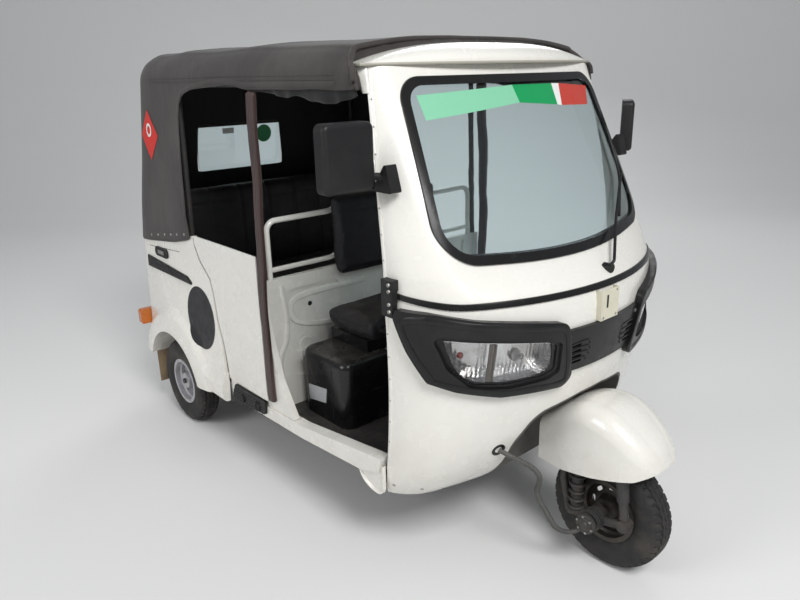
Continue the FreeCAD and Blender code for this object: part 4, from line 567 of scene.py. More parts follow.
def build_canopy():
    columns, band, wall_rows = canopy_columns(), 6, 22
    roof_rows = [1 + k * 0.25 for k in range(25)]
    points, index = [], {}

    def add(key, place):
        outward = Vector((place.x, max(place.y - 0.95, 0.0) * 3.0, 0))
        outward = outward.normalized() if outward.length > 1e-6 else Vector((0, 0, 1))
        index[key] = len(points)
        points.append(crumpled(place, outward))

    # The band above the doorways, and the roof
    for j, (column, s, near) in enumerate(columns):
        low = along(HEM_TOP, s)
        low += 0.006 * noise.noise(Vector((s * 7, column, 3))) * ramp((1.70 - s) / 0.1)
        for k in range(band):
            add((k, j), wall_point(column, low + (EAVES - low) * k / band, CANVAS_LIFT))
        for k, row in enumerate(roof_rows):
            add((band + k, j), canvas_point(column, row, CANVAS_LIFT))
    spans = [((i, j), (i, j + 1), (i + 1, j + 1), (i + 1, j))
             for i in range(band + len(roof_rows) - 1) for j in range(len(columns) - 1)]

    # The walls behind the doorways, from the lower hem up to the band
    first = next(j for j, (column, s, near) in enumerate(columns) if s >= OPENING_REAR - 0.03)
    for j, (column, s, near) in enumerate(columns[first:len(columns) - first], start=first):
        for k in range(wall_rows):
            share = k / wall_rows
            if near <= 1:
                f = (near - columns[first][0]) / (1 - columns[first][0])
                z = 0.88 + (WALL_TOP - 0.88) * share
                for _ in range(2):
                    edge, (_, rear, corner) = along(OPENING_EDGE, z), wall_plan(z)
                    here = edge + (rear - corner - edge) * f
                    low = along(HEM_LOW, here)
                    z = low + (WALL_TOP - low) * share
                place = wall_point(0.5, z, CANVAS_LIFT)
                place.x = (-1 if column < 3 else 1) * abs(place.x)
                place.y = AXLE_Y + here
            else:
                low = along(HEM_LOW, 2.24 + 0.13 * min(near - 1, 1))
                place = wall_point(column, low + (WALL_TOP - low) * share, CANVAS_LIFT)
            add(("w", k, j), place)
        index[("w", wall_rows, j)] = index[0, j]
    spans += [(("w", k, j), ("w", k, j + 1), ("w", k + 1, j + 1), ("w", k + 1, j))
              for k in range(wall_rows) for j in range(first, len(columns) - first - 1)]

    # The rear window's opening stays free
    faces = []
    for face in [tuple(index[key] for key in span) for span in spans]:
        c = sum((points[v] for v in face), Vector((0, 0, 0))) / len(face)
        if not (c.y > 1.15 and abs(c.x) < WINDOW_HALF and WINDOW_FOOT < c.z < WINDOW_TOP):
            faces.append(face)
    obj = mesh_piece("canvas_canopy", points, faces, "canvas")
    weld(obj.data, 0.0004)
    obj.data.materials.append(M["lining"])
    modifier(obj, "SOLIDIFY", thickness=CANVAS_THICKNESS, offset=-1, material_offset=1)
    subdivide(obj)
    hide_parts("canopy")
    return obj


# Tyres

TYRE_RADIUS = 0.207
# Half of a tyre's section: distance from the middle, radius
TYRE_HALF = [(0, TYRE_RADIUS), (0.009, TYRE_RADIUS), (0.018, 0.2066), (0.027, 0.2052), (0.035, 0.2018),
             (0.042, 0.1955), (0.0468, 0.1875), (0.0498, 0.176), (0.051, 0.163), (0.0508, 0.150),
             (0.0492, 0.138), (0.0458, 0.1265), (0.0415, 0.118), (0.039, 0.1145), (0.0375, 0.1125),
             (0.0372, 0.105)]
TREAD_PITCH, TREAD_DEPTH, TREAD_EDGE = 2 * math.pi / 42, 0.0055, 0.186
SIDEWALL_RINGS = (0.1205, 0.1335, 0.1715)


def tyre_section():
    """The section from bead to bead with extra points on the tread."""
    half = [catmull(TYRE_HALF, 0.25 * k) for k in range(28)] + TYRE_HALF[7:]
    return [(-a, b) for a, b in reversed(half[1:])] + half


def cut(gap, flat, slope):
    """How far a groove is cut at a distance from its middle: 1 in it, 0 beside it."""
    return 1.0 - min(1.0, max(0.0, gap - flat) / slope)


def groove_depth(across, turn):
    """How deep the tread is cut at a place: 0 on a block, 1 in a groove."""
    side, wide, count = 1 if across > 0 else -1, abs(across), turn / TREAD_PITCH
    zig = 0.0026 * (abs((count * 2 % 2) - 1) * 2 - 1)
    deep = max(cut(abs(wide - 0.0105 - zig), 0.0012, 0.0012), cut(abs(wide - 0.0275 + zig), 0.0012, 0.0012))
    if 0.028 < wide < 0.047:
        phase = ((count + 0.25 * side + (wide - 0.028) * 12) % 1.0) - 0.5
        fade = min(1.0, (0.047 - wide) / 0.006)
        deep = max(deep, fade * cut(abs(phase) * TREAD_PITCH * 0.2, 0.0026, 0.0014))
    elif wide < 0.010:
        phase = ((count + 0.5) % 1.0) - 0.5
        deep = max(deep, 0.6 * cut(abs(phase) * TREAD_PITCH * 0.2, 0.0008, 0.0012))
    return deep


def build_tyre(node, body, centre):
    section, steps, points = tyre_section(), 336, []
    for i in range(steps):
        turn = 2 * math.pi * i / steps
        for j, (across, radius) in enumerate(section):
            before, after = section[max(j - 1, 0)], section[min(j + 1, len(section) - 1)]
            tangent = Vector((after[0] - before[0], after[1] - before[1])).normalized()
            lift = -0.0004 - (groove_depth(across, turn) * TREAD_DEPTH if radius > TREAD_EDGE else 0.0)
            if abs(across) > 0.03:
                lift += sum(0.0009 * max(0.0, 1 - abs(radius - ring) / 0.0016) for ring in SIDEWALL_RINGS)
            a, r = across - tangent.y * lift, radius + tangent.x * lift
            points.append(Vector(centre) + Vector((a, -r * math.cos(turn), r * math.sin(turn))))
    faces = grid_faces(steps, len(section), wrap_rows=True)
    obj = mesh_piece(node + "_tread", points, faces, "tyre", body, split=38)
    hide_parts(node)


# Cushions

# The cloth run that swells the pads
PUFF_STEPS, PRESSURE = 20, 4.0


def rounded_block(name, low, high, bevel):
    bm = bmesh.new()
    bmesh.ops.create_cube(bm, size=1.0)
    bmesh.ops.scale(bm, vec=[b - a for a, b in zip(low, high)], verts=bm.verts)
    bmesh.ops.translate(bm, vec=[(a + b) / 2 for a, b in zip(low, high)], verts=bm.verts)
    bmesh.ops.bevel(bm, geom=bm.edges, offset=bevel, segments=4, profile=0.5, affect="EDGES")
    data = bpy.data.meshes.new(name)
    bm.to_mesh(data)
    bm.free()
    obj = bpy.data.objects.new(name, data)
    bpy.context.scene.collection.objects.link(obj)
    return obj


def swell(obj, cap, held_below):
    """Lets the form puff up like stuffed upholstery, with a limit on how far."""
    before = [v.co.copy() for v in obj.data.vertices]
    cloth = obj.modifiers.new("cloth", "CLOTH")
    for key, value in (("use_pressure", True), ("uniform_pressure_force", PRESSURE), ("mass", 0.4),
                       ("tension_stiffness", 30), ("compression_stiffness", 30), ("shear_stiffness", 12)):
        setattr(cloth.settings, key, value)
    cloth.settings.effector_weights.gravity = 0
    cloth.point_cache.frame_start, cloth.point_cache.frame_end = 1, PUFF_STEPS
    group = obj.vertex_groups.new(name="held")
    group.add([v.index for v in obj.data.vertices if v.co.z < held_below], 1.0, "REPLACE")
    cloth.settings.vertex_group_mass = "held"
    for step in range(1, PUFF_STEPS + 1):
        bpy.context.scene.frame_set(step)
    graph = bpy.context.evaluated_depsgraph_get()
    after = [v.co.copy() for v in obj.evaluated_get(graph).data.vertices]
    obj.modifiers.clear()
    for v, a, b in zip(obj.data.vertices, before, after):
        move = b - a
        if move.length > cap:
            move *= cap / move.length
        v.co = a + move
    bpy.context.scene.frame_set(1)


def build_pad(node, shrink, voxel, bevel, cap, shape, seams):
    """A cushion inside its CAD solid's box: swollen, shaped, then seamed."""
    low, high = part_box(node)
    low = [a + s for a, s in zip(low, shrink)]
    high = [b - s for b, s in zip(high, shrink)]
    obj = rounded_block(node + "_cover", low, high, bevel)
    modifier(obj, "REMESH", mode="VOXEL", voxel_size=voxel, use_smooth_shade=True)
    graph = bpy.context.evaluated_depsgraph_get()
    data = bpy.data.meshes.new_from_object(obj.evaluated_get(graph), depsgraph=graph)
    obj.modifiers.clear()
    obj.data = data
    swell(obj, cap, low[2] + 0.008)

    def share(place):
        return [(c - a) / (b - a) for c, a, b in zip(place, low, high)]

    for v in obj.data.vertices:
        v.co = v.co + shape(share(v.co), v.co)
    for v in obj.data.vertices:
        deep = sum(seam(share(v.co)) for seam in seams)
        if deep:
            v.co = v.co - v.normal * deep
    for face in obj.data.polygons:
        face.use_smooth = True
    modifier(obj, "SMOOTH", factor=0.4, iterations=2)
    subdivide(obj)
    obj.data.materials.clear()
    obj.data.materials.append(M["vinyl"])
    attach(obj, "chassis")
    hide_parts(node)


def groove(distance, width, depth):
    return depth * max(0.0, 1 - (distance / width) ** 2) if abs(distance) < width else 0.0


def build_cushions():
    """In a shape, f is the place as a share of the pad's box and p the place itself."""
    def bow(share):
        return 1 - (2 * share - 1) ** 2

    def driver_shape(f, p):
        side = abs(f[0] - 0.5) * 2
        dome = 0.010 * (1 - side ** 2) * bow(f[1]) if f[2] > 0.6 else 0.0
        taper = -0.03 * (1 - f[2]) * (1 if f[0] > 0.5 else -1) * side ** 3
        return Vector((taper, 0.024 * (1 - f[2]) * (1 - f[1]) ** 2, dome - 0.004 * noise.noise(p * 9)))

    def back_shape(f, p):
        side, sign = abs(f[0] - 0.5) * 2, 1 if f[0] > 0.5 else -1
        pull = -0.05 * max(0.0, 0.25 - f[2]) * 2 * side * sign
        crown = -0.010 * (1 - side ** 2) * (1 if f[1] < 0.5 else 0)
        return Vector((pull, crown, -0.012 * side ** 4 * (1 if f[2] > 0.8 else 0)))

    def bench_shape(f, p):
        return Vector((0, 0, (0.012 * bow(f[1]) if f[2] > 0.6 else 0.0) + 0.003 * noise.noise(p * 6)))

    def rear_shape(f, p):
        return Vector((0, -0.010 * bow(f[2]) if f[1] < 0.4 else 0.0, 0.003 * noise.noise(p * 6)))

    def channels(shown):
        return [lambda f, c=c: groove(f[0] - c, 0.008, 0.007) if shown(f) else 0.0
                for c in (0.2, 0.35, 0.5, 0.65, 0.8)]

    build_pad("driver_cushion", (0.006, 0.006, 0.007), 0.0055, 0.030, 0.011, driver_shape,
              [lambda f: groove(f[2] - 0.66, 0.04, 0.0035),
               lambda f: groove(f[2] - 0.22, 0.035, 0.003)])
    build_pad("driver_backrest", (0.012, 0.011, 0.012), 0.0055, 0.022, 0.010, back_shape,
              [lambda f: groove(f[1] - 0.62, 0.06, 0.003),
               lambda f: groove(f[2] - 0.78, 0.018, 0.004) if f[1] < 0.5 else 0.0])
    build_pad("passenger_cushion", (0.014, 0.014, 0.012), 0.008, 0.034, 0.013, bench_shape,
              channels(lambda f: f[2] > 0.5) + [lambda f: groove(f[2] - 0.45, 0.05, 0.004)])
    build_pad("passenger_backrest", (0.014, 0.013, 0.014), 0.008, 0.032, 0.012, rear_shape,
              channels(lambda f: f[1] < 0.5)
              + [lambda f: groove(f[2] - 0.82, 0.012, 0.006) if f[1] < 0.5 else 0.0])


def build_wraps():
    """Canvas laced round the middle posts: uneven flattened tubes with lengthwise pleats."""
    rows, around, foot, shoulder = 96, 40, 0.396, 0.880
    front, rear = 0.0065, 0.0655
    for side, tag in HANDS:
        points = []
        for i in range(rows):
            t = i / (rows - 1)
            z = foot + (1.570 - foot) * t
            lean = max(0.0, z - shoulder) / 0.690
            outer, inner = 0.6185 - 0.0205 * lean, 0.6005 - 0.0232 * lean
            middle_x, half_x = (outer + inner) / 2, (outer - inner) / 2
            middle_y = (front + rear) / 2 + 0.005 * math.sin(t * 7.3) + 0.003 * math.sin(t * 23)
            half_y = (rear - front) / 2 * (0.66 + 0.16 * t + 0.06 * math.sin(t * 19) * (1 - t))
            half_y = min(half_y, rear - middle_y, middle_y - front)
            for c, s in circle(around):
                square = 1 / max(abs(c) ** 6 + abs(s) ** 6, 1e-9) ** (1 / 6)
                x, y = half_x * c * square, half_y * s * square
                pleat = 0.5 + 0.5 * math.sin(y * 520 + 2.2 * math.sin(z * 9) + side)
                if c > 0.3:
                    x -= 0.0016 * pleat + 0.0012 * noise.noise(Vector((y * 60, z * 22, side)))
                points.append(Vector((side * (middle_x + x), middle_y + y, z)))
        obj = mesh_piece("pillar_wrap_" + tag, points, tube_faces(rows, around), "wrap")
        subdivide(obj)
        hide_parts("pillar_wraps")


# Places on the outside of the pieces

class Skin:
    """Finds where a straight look from outside meets a set of pieces, as (place, normal)."""

    def __init__(self, *objects):
        graph = bpy.context.evaluated_depsgraph_get()
        points, faces = [], []
        for obj in objects:
            data = obj.evaluated_get(graph).to_mesh()
            start = len(points)
            points += [obj.matrix_world @ v.co for v in data.vertices]
            faces += [[start + k for k in face.vertices] for face in data.polygons]
        self.tree = BVHTree.FromPolygons(points, faces)

    def look(self, start, way):
        way = Vector(way).normalized()
        place, normal = self.tree.ray_cast(Vector(start), way)[:2]
        if place is None:
            return None
        return place, -normal if normal.dot(way) > 0 else normal

    def side(self, s, z, hand=-1):
        return self.look((hand * 1.2, AXLE_Y + s, z), (-hand, 0, 0))

    def front(self, x, z):
        return self.look((x, -2.0, z), (0, 1, 0))

    def rear(self, x, z):
        return self.look((x, 2.0, z), (0, -1, 0))

    def above(self, x, s):
        return self.look((x, AXLE_Y + s, 3.0), (0, 0, -1))


def skin_of(name):
    return Skin(NODES[name])


def patch(name, spots, rows, columns, lift, look, wrap=False):
    """A thin skin over a grid of spots; it ends where a look met nothing."""
    number, points = {}, []
    for k, spot in enumerate(spots):
        if spot:
            number[k] = len(points)
            points.append(spot[0] + spot[1] * lift)
    faces = [tuple(number[k] for k in face) for face in grid_faces(rows, columns, wrap_columns=wrap)
             if all(k in number for k in face)]
    return mesh_piece(name, points, faces, look)


def quad_patch(name, corners, find, lift, look, cuts=(14, 6)):
    """Corners run round from the upper left; find(a, b) gives a spot."""
    spots = []
    for v in spaced(0, 1, cuts[1] + 1):
        for u in spaced(0, 1, cuts[0] + 1):
            spots.append(find(*[(p * (1 - u) + q * u) * (1 - v) + (r * (1 - u) + s * u) * v
                                for p, q, s, r in zip(*corners)]))
    return patch(name, spots, cuts[1] + 1, cuts[0] + 1, lift, look)


def box_corners(left, right, top, bottom):
    return [(left, top), (right, top), (right, bottom), (left, bottom)]


def disc_patch(name, centre, radii, find, lift, look, rings=5, inner=0.0):
    steps, spots = 40, []
    for ring in range(rings + 1):
        share = inner + (1 - inner) * ring / rings
        spots += [find(centre[0] + radii[0] * share * c, centre[1] + radii[1] * share * s)
                  for c, s in circle(steps)]
    return patch(name, spots, rings + 1, steps, lift, look, wrap=True)


def strip(name, spots, half, rise, look, notch=None):
    """A low rounded bead along spots; notch(k) narrows it at the k-th."""
    section = [(-1, -1), (-1, 0.35), (-0.72, 0.85), (0, 1), (0.72, 0.85), (1, 0.35), (1, -1)]
    sink = 0.001
    spots = [spot for spot in spots if spot]
    points, count = [], len(spots)
    for k, (place, normal) in enumerate(spots):
        ahead = (spots[min(k + 1, count - 1)][0] - spots[max(k - 1, 0)][0]).normalized()
        across = ahead.cross(normal).normalized() * half * (notch(k) if notch else 1.0)
        points += [place + across * a + normal * (rise * b if b > 0 else -sink) for a, b in section]
    return mesh_piece(name, points, tube_faces(count, len(section)), look, split=40)


def raised(spots, lift):
    return [(spot[0] + spot[1] * lift, spot[1]) for spot in spots if spot]


# Front shell

DOOR_S, DOOR_Z, DOOR_R = circle_through((0.492, 0.285), (0.444, 0.860), (0.576, 1.640))


def door_s(z):
    """The doorway's front edge at a height."""
    return DOOR_S - math.sqrt(DOOR_R ** 2 - (z - DOOR_Z) ** 2)


def build_door_edges():
    """Edging along the doorways' front edges with notches and rivets."""
    shell, rise = skin_of("cowl"), 0.0022
    for hand, tag in HANDS:
        def edge(heights):
            return [shell.side(door_s(z) - 0.008, z, hand) for z in heights]
        strip("door_edging_" + tag, edge(spaced(0.43, 1.62, 151)), 0.006, rise, "white",
              notch=lambda k: 0.62 if k % 10 == 0 else 1.0)
        heads("door_rivets_" + tag, raised(edge(spaced(0.50, 1.55, 15)), rise), dome_profile(0.003, 0.0018))


def header_point(u, v, inset=0.0):
    """The visor's dome: u runs across it, v from the lip up to the canvas."""
    lip_s, top_s = 0.466 + 0.106 * u * u, 0.604 + 0.040 * u * u
    rise, turn = 0.061 * (1 - abs(u) ** 3.0), v * math.pi / 2
    s = lip_s + inset + (top_s - lip_s) * (1 - math.cos(turn))
    return Vector((u * (0.556 - 0.012 * v - inset), AXLE_Y + s, 1.649 + (rise - inset) * math.sin(turn)))


def build_header():
    """The visor over the screen: a low dome that dies out towards its ends, on a flat lip."""
    rows, columns = 17, 61
    points = [header_point(u * 0.998, i / (rows - 1), inset)
              for inset in (0.0, 0.004) for i in range(rows) for u in spaced(-1, 1, columns)]
    count = rows * columns
    faces = grid_faces(rows, columns)
    faces += [tuple(count + k for k in reversed(face)) for face in faces]
    for j in range(columns - 1):
        top = (rows - 1) * columns + j
        faces += [(j + 1, j, count + j, count + j + 1), (top, top + 1, count + top + 1, count + top)]
    dome = mesh_piece("visor_dome", points, faces, "white", split=50)
    # The lip: a rounded bar that follows the front edge and runs back along both sides
    line = [(-0.553, 0.690), (-0.554, 0.640)]
    line += [(u * 0.555, 0.463 + 0.108 * u * u) for u in [-1 + k / 30 for k in range(61)]]
    line += [(0.554, 0.640), (0.553, 0.690)]
    section = [(0.006, 0.0), (0.004, 0.0045), (-0.004, 0.0050), (-0.034, 0.0050), (-0.034, -0.0045),
               (-0.004, -0.0045), (0.004, -0.0035)]
    points = []
    for k, (x, s) in enumerate(line):
        before, after = line[max(k - 1, 0)], line[min(k + 1, len(line) - 1)]
        out = Vector((after[1] - before[1], before[0] - after[0], 0)).normalized()
        points += [(x + out.x * min(a, 0.005), AXLE_Y + s + out.y * a, 1.6448 + z) for a, z in section]
    lip = mesh_piece("visor_lip", points, tube_faces(len(line), len(section)), "lip", split=40)
    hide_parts("roof_header")
    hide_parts("roof_header")


def front_edge(hand, rows, lift):
    """The canvas's front edge on one side, up to the middle."""
    return [crumpled(canvas_point(0 if hand < 0 else 6, row, lift), Vector((hand, 0, 0))) for row in rows]


def build_front_hem():
    """The rolled hem of the canvas over the visor."""
    rows = [1 + k * 0.125 for k in range(49)]
    places = front_edge(-1, rows, CANVAS_LIFT) + front_edge(1, reversed(rows[:-1]), CANVAS_LIFT)
    line = [p + Vector((0, -0.002, -0.007)) for p in places if p.z > 1.602]
    tube_along("canopy_front_hem", line, "canvas", lambda k: 0.0085)


def build_corner_gussets():
    """The canvas folds down from its front edge onto the visor's ends and the pillars."""
    columns, rows = 64, 8
    for hand, tag in HANDS:
        upper = [crumpled(wall_point(0 if hand < 0 else 6, z, GUSSET_LIFT), Vector((hand, 0, 0)))
                 for z in (1.578, 1.585)]
        upper += front_edge(hand, [1 + 0.1 * k for k in range(61)], GUSSET_LIFT)
        lower = [Vector((hand * x, AXLE_Y + s, z)) for x, s, z in (
            (0.552, 0.576, 1.580), (0.553, 0.584, 1.612), (0.552, 0.604, 1.638), (0.545, 0.626, 1.651))]
        lower += [header_point(hand * u, 1.0) + Vector((0, 0.003, -0.004))
                  for u in (0.96, 0.90, 0.80, 0.70, 0.60, 0.50, 0.36, 0.24, 0.12, 0.0)]
        points = []
        for i, (high, low) in enumerate(zip(route(upper, columns), route(lower, columns))):
            a, b = Vector(high), Vector(low)
            for v in spaced(0, 1, rows):
                slack = math.sin(math.pi * v)
                crease = 0.004 * noise.noise(Vector((i * 0.35, v * 2.0, hand * 3.0)))
                points.append(a + (b - a) * v + Vector((-hand * 0.003, 0.005 + crease, -0.004)) * slack)
        obj = mesh_piece("canopy_corner_" + tag, points, grid_faces(columns, rows), "canvas", thick=0.0022)
        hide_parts("canopy")


def build_pillar_flanges():
    """White flanges that close the pillars' tops behind the doorway's edge."""
    rows, columns = 12, 5
    rear = [(0.551, 0.572, 1.566), (0.5525, 0.578, 1.580), (0.5535, 0.587, 1.612), (0.5525, 0.608, 1.638),
            (0.550, 0.630, 1.646)]
    for hand, tag in HANDS:
        points = []
        for place in smooth_route(rear, rows):
            high = place[2]
            ahead = (0.5455 - (high - 1.58) * 0.16, door_s(high) - 0.006, high)
            for v in spaced(0, 1, columns):
                x, s, z = [a + (b - a) * v for a, b in zip(ahead, place)]
                points.append((hand * x, AXLE_Y + s, z))
        mesh_piece("pillar_flange_" + tag, points, grid_faces(rows, columns), "white", thick=0.0016)


def build_lens_rims():
    """A dark rim that rounds the lenses' lower outer corners."""
    line = [(0.541, 0.894), (0.543, 0.882), (0.536, 0.852), (0.520, 0.806), (0.497, 0.769), (0.461, 0.748),
            (0.391, 0.7385), (0.330, 0.7375), (0.273, 0.744), (0.243, 0.763), (0.240, 0.802), (0.250, 0.848),
            (0.270, 0.894), (0.400, 0.906), (0.541, 0.894)]
    rings, steps, mid_x, mid_z = 15, 180, 0.395, 0.828
    lenses, curve = skin_of("headlamp_lenses"), smooth_route(line, steps)
    for hand, tag in HANDS:
        spots = [lenses.front(hand * (mid_x + (x - mid_x) * share), mid_z + (z - mid_z) * share)
                 for share in [1 + 0.36 * ring / (rings - 1) for ring in range(rings)] for x, z in curve]
        patch("lens_rim_" + tag, spots, rings, steps, 0.0012, "bezel", wrap=True)
        bead = [lenses.front(hand * x, z) for x, z in curve[4:-30]]
        strip("lens_bead_" + tag, bead, 0.0028, 0.0026, "bezel")


def build_inner_flaps():
    """Slack lining that hangs below the hem over the driver's doorways."""
    columns, rows = 71, 9
    for (hand, tag), seed in zip(HANDS, (2.0, 9.0)):
        points = []
        for s in [0.580 + 0.60 * i / (columns - 1) for i in range(columns)]:
            hang = 0.012 + 0.034 * math.exp(-((s - 0.736) / 0.15) ** 2)
            hang += 0.014 * math.exp(-((s - 0.98) / 0.08) ** 2)
            hang += 0.008 * noise.noise(Vector((s * 15, seed, 0)))
            for v in spaced(0, 1, rows):
                wave = 0.005 + 0.005 * v * math.sin(s * 52 + seed + 1.5 * math.sin(s * 19))
                points.append((hand * (0.576 - wave - 0.010 * v * v), AXLE_Y + s, 1.601 - (0.020 + hang) * v))
        obj = mesh_piece("canopy_inner_flap_" + tag, points, grid_faces(columns, rows), "lining", thick=0.002)
        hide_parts("canopy")


def build_sill_toes():
    """The rounded foot between each sill's front end and the shell's lower corner."""
    outline = smooth_route([(0.478, 0.398), (0.479, 0.335), (0.481, 0.304), (0.494, 0.289), (0.524, 0.286),
                            (0.562, 0.295), (0.592, 0.316), (0.607, 0.350), (0.612, 0.398)], 30)
    section = [(0.5975, 0.010), (0.6035, 0.004), (0.6045, 0.0), (0.5900, 0.0), (0.5900, 0.016)]
    middle, count = (0.541, 0.372), len(section)
    faces = grid_faces(len(outline), count)
    faces += [tuple(k * count + end for k in range(len(outline))) for end in (0, count - 1)]
    for hand, tag in HANDS:
        points = []
        for s, z in outline:
            for x, inset in section:
                share = 1 - inset / math.dist((s, z), middle)
                points.append((hand * x, AXLE_Y + middle[0] + (s - middle[0]) * share,
                               middle[1] + (z - middle[1]) * share))
        mesh_piece("sill_toe_" + tag, points, faces, "white", smooth=False)


def build_bezel_lips():
    """A bead round each bezel: (x, z) as seen from the front, (s, z) as seen from the side."""
    front = [(0.222, 0.890), (0.300, 0.906), (0.400, 0.921), (0.500, 0.937), (0.560, 0.950)]
    side = [(0.300, 0.950), (0.362, 0.930), (0.333, 0.852), (0.286, 0.772)]
    below = [(0.565, 0.758), (0.510, 0.738), (0.400, 0.709), (0.300, 0.703), (0.205, 0.700), (0.180, 0.722),
             (0.196, 0.830)]
    bezels, steps = skin_of("lamp_bezels"), 160
    for hand, tag in HANDS:
        spots = [bezels.front(hand * x, z) for x, z in front] + [bezels.side(s, z, hand) for s, z in side] \
            + [bezels.front(hand * x, z) for x, z in below]
        placed = [spot[0] for spot in spots if spot]
        placed = [placed[-1]] + placed + placed[:2]
        turns = [1 + (len(placed) - 3) * k / steps for k in range(steps + 1)]
        near = [bezels.tree.find_nearest(Vector(catmull(placed, t)))[:2] for t in turns]
        strip("bezel_lip_" + tag, near, 0.010, 0.0030, "bezel")


def build_screen_band():
    glass = skin_of("windshield")
    top = [(-0.420, 1.556), (-0.028, 1.575), (0.188, 1.574), (0.234, 1.573), (0.432, 1.560)]
    foot = [(-0.415, 1.486), (-0.022, 1.520), (0.179, 1.505), (0.204, 1.502), (0.390, 1.496)]
    for k, look in enumerate(("mint", "green", "pale", "red_band")):
        corners = [top[k], top[k + 1], foot[k + 1], foot[k]]
        quad_patch("screen_band_" + look, corners, glass.front, 0.0006, look, (24, 5))


def build_lamp_insides():
    """Two divider strips, two red dots and a bulb in its collar behind each lens."""
    bowls, lenses, ahead = skin_of("lamp_bowls"), skin_of("headlamp_lenses"), Vector((0, -1, 0))
    # A divider stands behind the lens
    gap, half, deep = 0.0075, 0.0018, 0.014
    for hand, tag in HANDS:
        for x in (0.413, 0.423):
            seen = [lenses.front(hand * x, 0.742 + 0.132 * k / 16) for k in range(17)]
            places = [spot[0] for spot in seen if spot]
            points = [(hand * x + dx, place.y + gap + dy, place.z) for place in places
                      for dx, dy in ((-half, 0.0), (half, 0.0), (half, deep), (-half, deep))]
            faces = grid_faces(len(places), 4, wrap_columns=True)
            mesh_piece("lamp_divider_" + tag, points, faces, "divider", smooth=False)
        spots = [bowls.front(hand * x, z) for x, z in ((0.470, 0.822), (0.508, 0.826))]
        heads("lamp_dots_" + tag, [(spot[0], ahead) for spot in spots if spot],
              [(0.010, -0.004), (0.010, 0.004), (0.007, 0.008), (0.003, 0.0095)], "red")
        place = bowls.front(hand * 0.318, 0.806)[0]
        turned_solid("lamp_collar_" + tag, [(0.021, -0.006), (0.021, 0.004), (0.0145, 0.008), (0.013, 0.008)],
                     place, ahead, "steel", slot="lamp_chrome")
        turned_solid("lamp_bulb_" + tag, [(0.009, 0.004), (0.0095, 0.020), (0.0085, 0.026), (0.005, 0.0295),
                                          (0.001, 0.0305)], place, ahead, "lens")


def build_nose_details():
    grille, shell, face = skin_of("nose_grille"), skin_of("cowl"), skin_of("plate_bracket")
    blocks = skin_of("hinge_blocks")
    spots = [grille.front(hand * x, z) for hand, _ in HANDS for x, z in ((0.183, 0.848), (0.180, 0.744))]
    heads("grille_screws", spots, [(0.0065, -0.002), (0.0065, 0.001), (0.0045, 0.0028), (0.0014, 0.0028),
                                   (0.0012, 0.001)])
    for hand, tag in HANDS:
        for n, (z, reach) in enumerate(((0.822, 0.088), (0.803, 0.084), (0.784, 0.086), (0.765, 0.094))):
            line = smooth_route([(hand * 0.176, z - 0.004), (hand * 0.140, z + 0.001),
                                 (hand * (reach + 0.012), z + 0.001), (hand * reach, z - 0.010)], 36)
            spots = [grille.front(x, h) for x, h in line]
            strip("grille_rib_%s_%d" % (tag, n), spots, 0.0032, 0.003, "bezel")
    heads("bracket_screws", [face.front(x, z) for x, z in ((0.018, 0.964), (0.018, 0.884), (-0.050, 0.884))],
          dome_profile(0.0045, 0.002))
    # Painted shade: a black patch stands for the dark inside of the bracket's slot
    quad_patch("bracket_slot", box_corners(-0.036, -0.026, 0.956, 0.914), face.front, 0.0004, "ink", (2, 4))
    for hand, tag in HANDS:
        heads("hinge_bolts_" + tag, [blocks.side(0.404, z, hand) for z in (1.040, 1.020, 0.980, 0.958)],
              hex_profile(0.0065, 0.005), steps=6)
    # Black ring round the hole where the brake hose leaves the nose
    turned_solid("hose_ring", [(0.024, -0.002), (0.024, 0.0008), (0.019, 0.0022), (0.013, 0.001),
                               (0.011, -0.002)], *shell.front(-0.348, 0.476), "rubber")
    for hand, tag in HANDS:
        heads("foot_screws_" + tag, [shell.side(s, 0.330, hand) for s in (0.375, 0.455)],
              dome_profile(0.006, 0.0028))


def build_hose():
    """The ribbed brake hose from the nose to the front hub."""
    line = [(-0.348, 0.203, 0.476), (-0.318, 0.165, 0.452), (-0.285, 0.127, 0.425), (-0.262, 0.108, 0.391),
            (-0.246, 0.117, 0.350), (-0.240, 0.129, 0.308), (-0.226, 0.122, 0.262), (-0.212, 0.114, 0.233),
            (-0.196, 0.098, 0.192), (-0.184, 0.088, 0.167), (-0.168, 0.064, 0.154), (-0.152, 0.034, 0.164),
            (-0.128, 0.014, 0.188)]
    places = [Vector((x, AXLE_Y + s, z)) for x, s, z in smooth_route(line, 300)]
    hose = tube_along("brake_hose", places, "hose", around=10, reference=(0, 0, 1), body=None,
                      radius=lambda k: 0.0080 + (0.0014 * (1 if k % 4 < 2 else -1) if 20 < k < 282 else 0))
    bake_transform(hose)


# Body sides and tail

def moulding_spans(strips, hand):
    """Where the side moulding is: (s, low, high) of its upper run."""
    spans = []
    for s in [1.764 + 0.455 * k / 89 for k in range(90)]:
        hits = [z / 1000 for z in range(742, 872, 3) if strips.side(s, z / 1000, hand)]
        run = [z for z in hits if z - hits[0] < 0.075]
        if len(run) > 3:
            spans.append((s, run[0], run[-1]))
    return spans


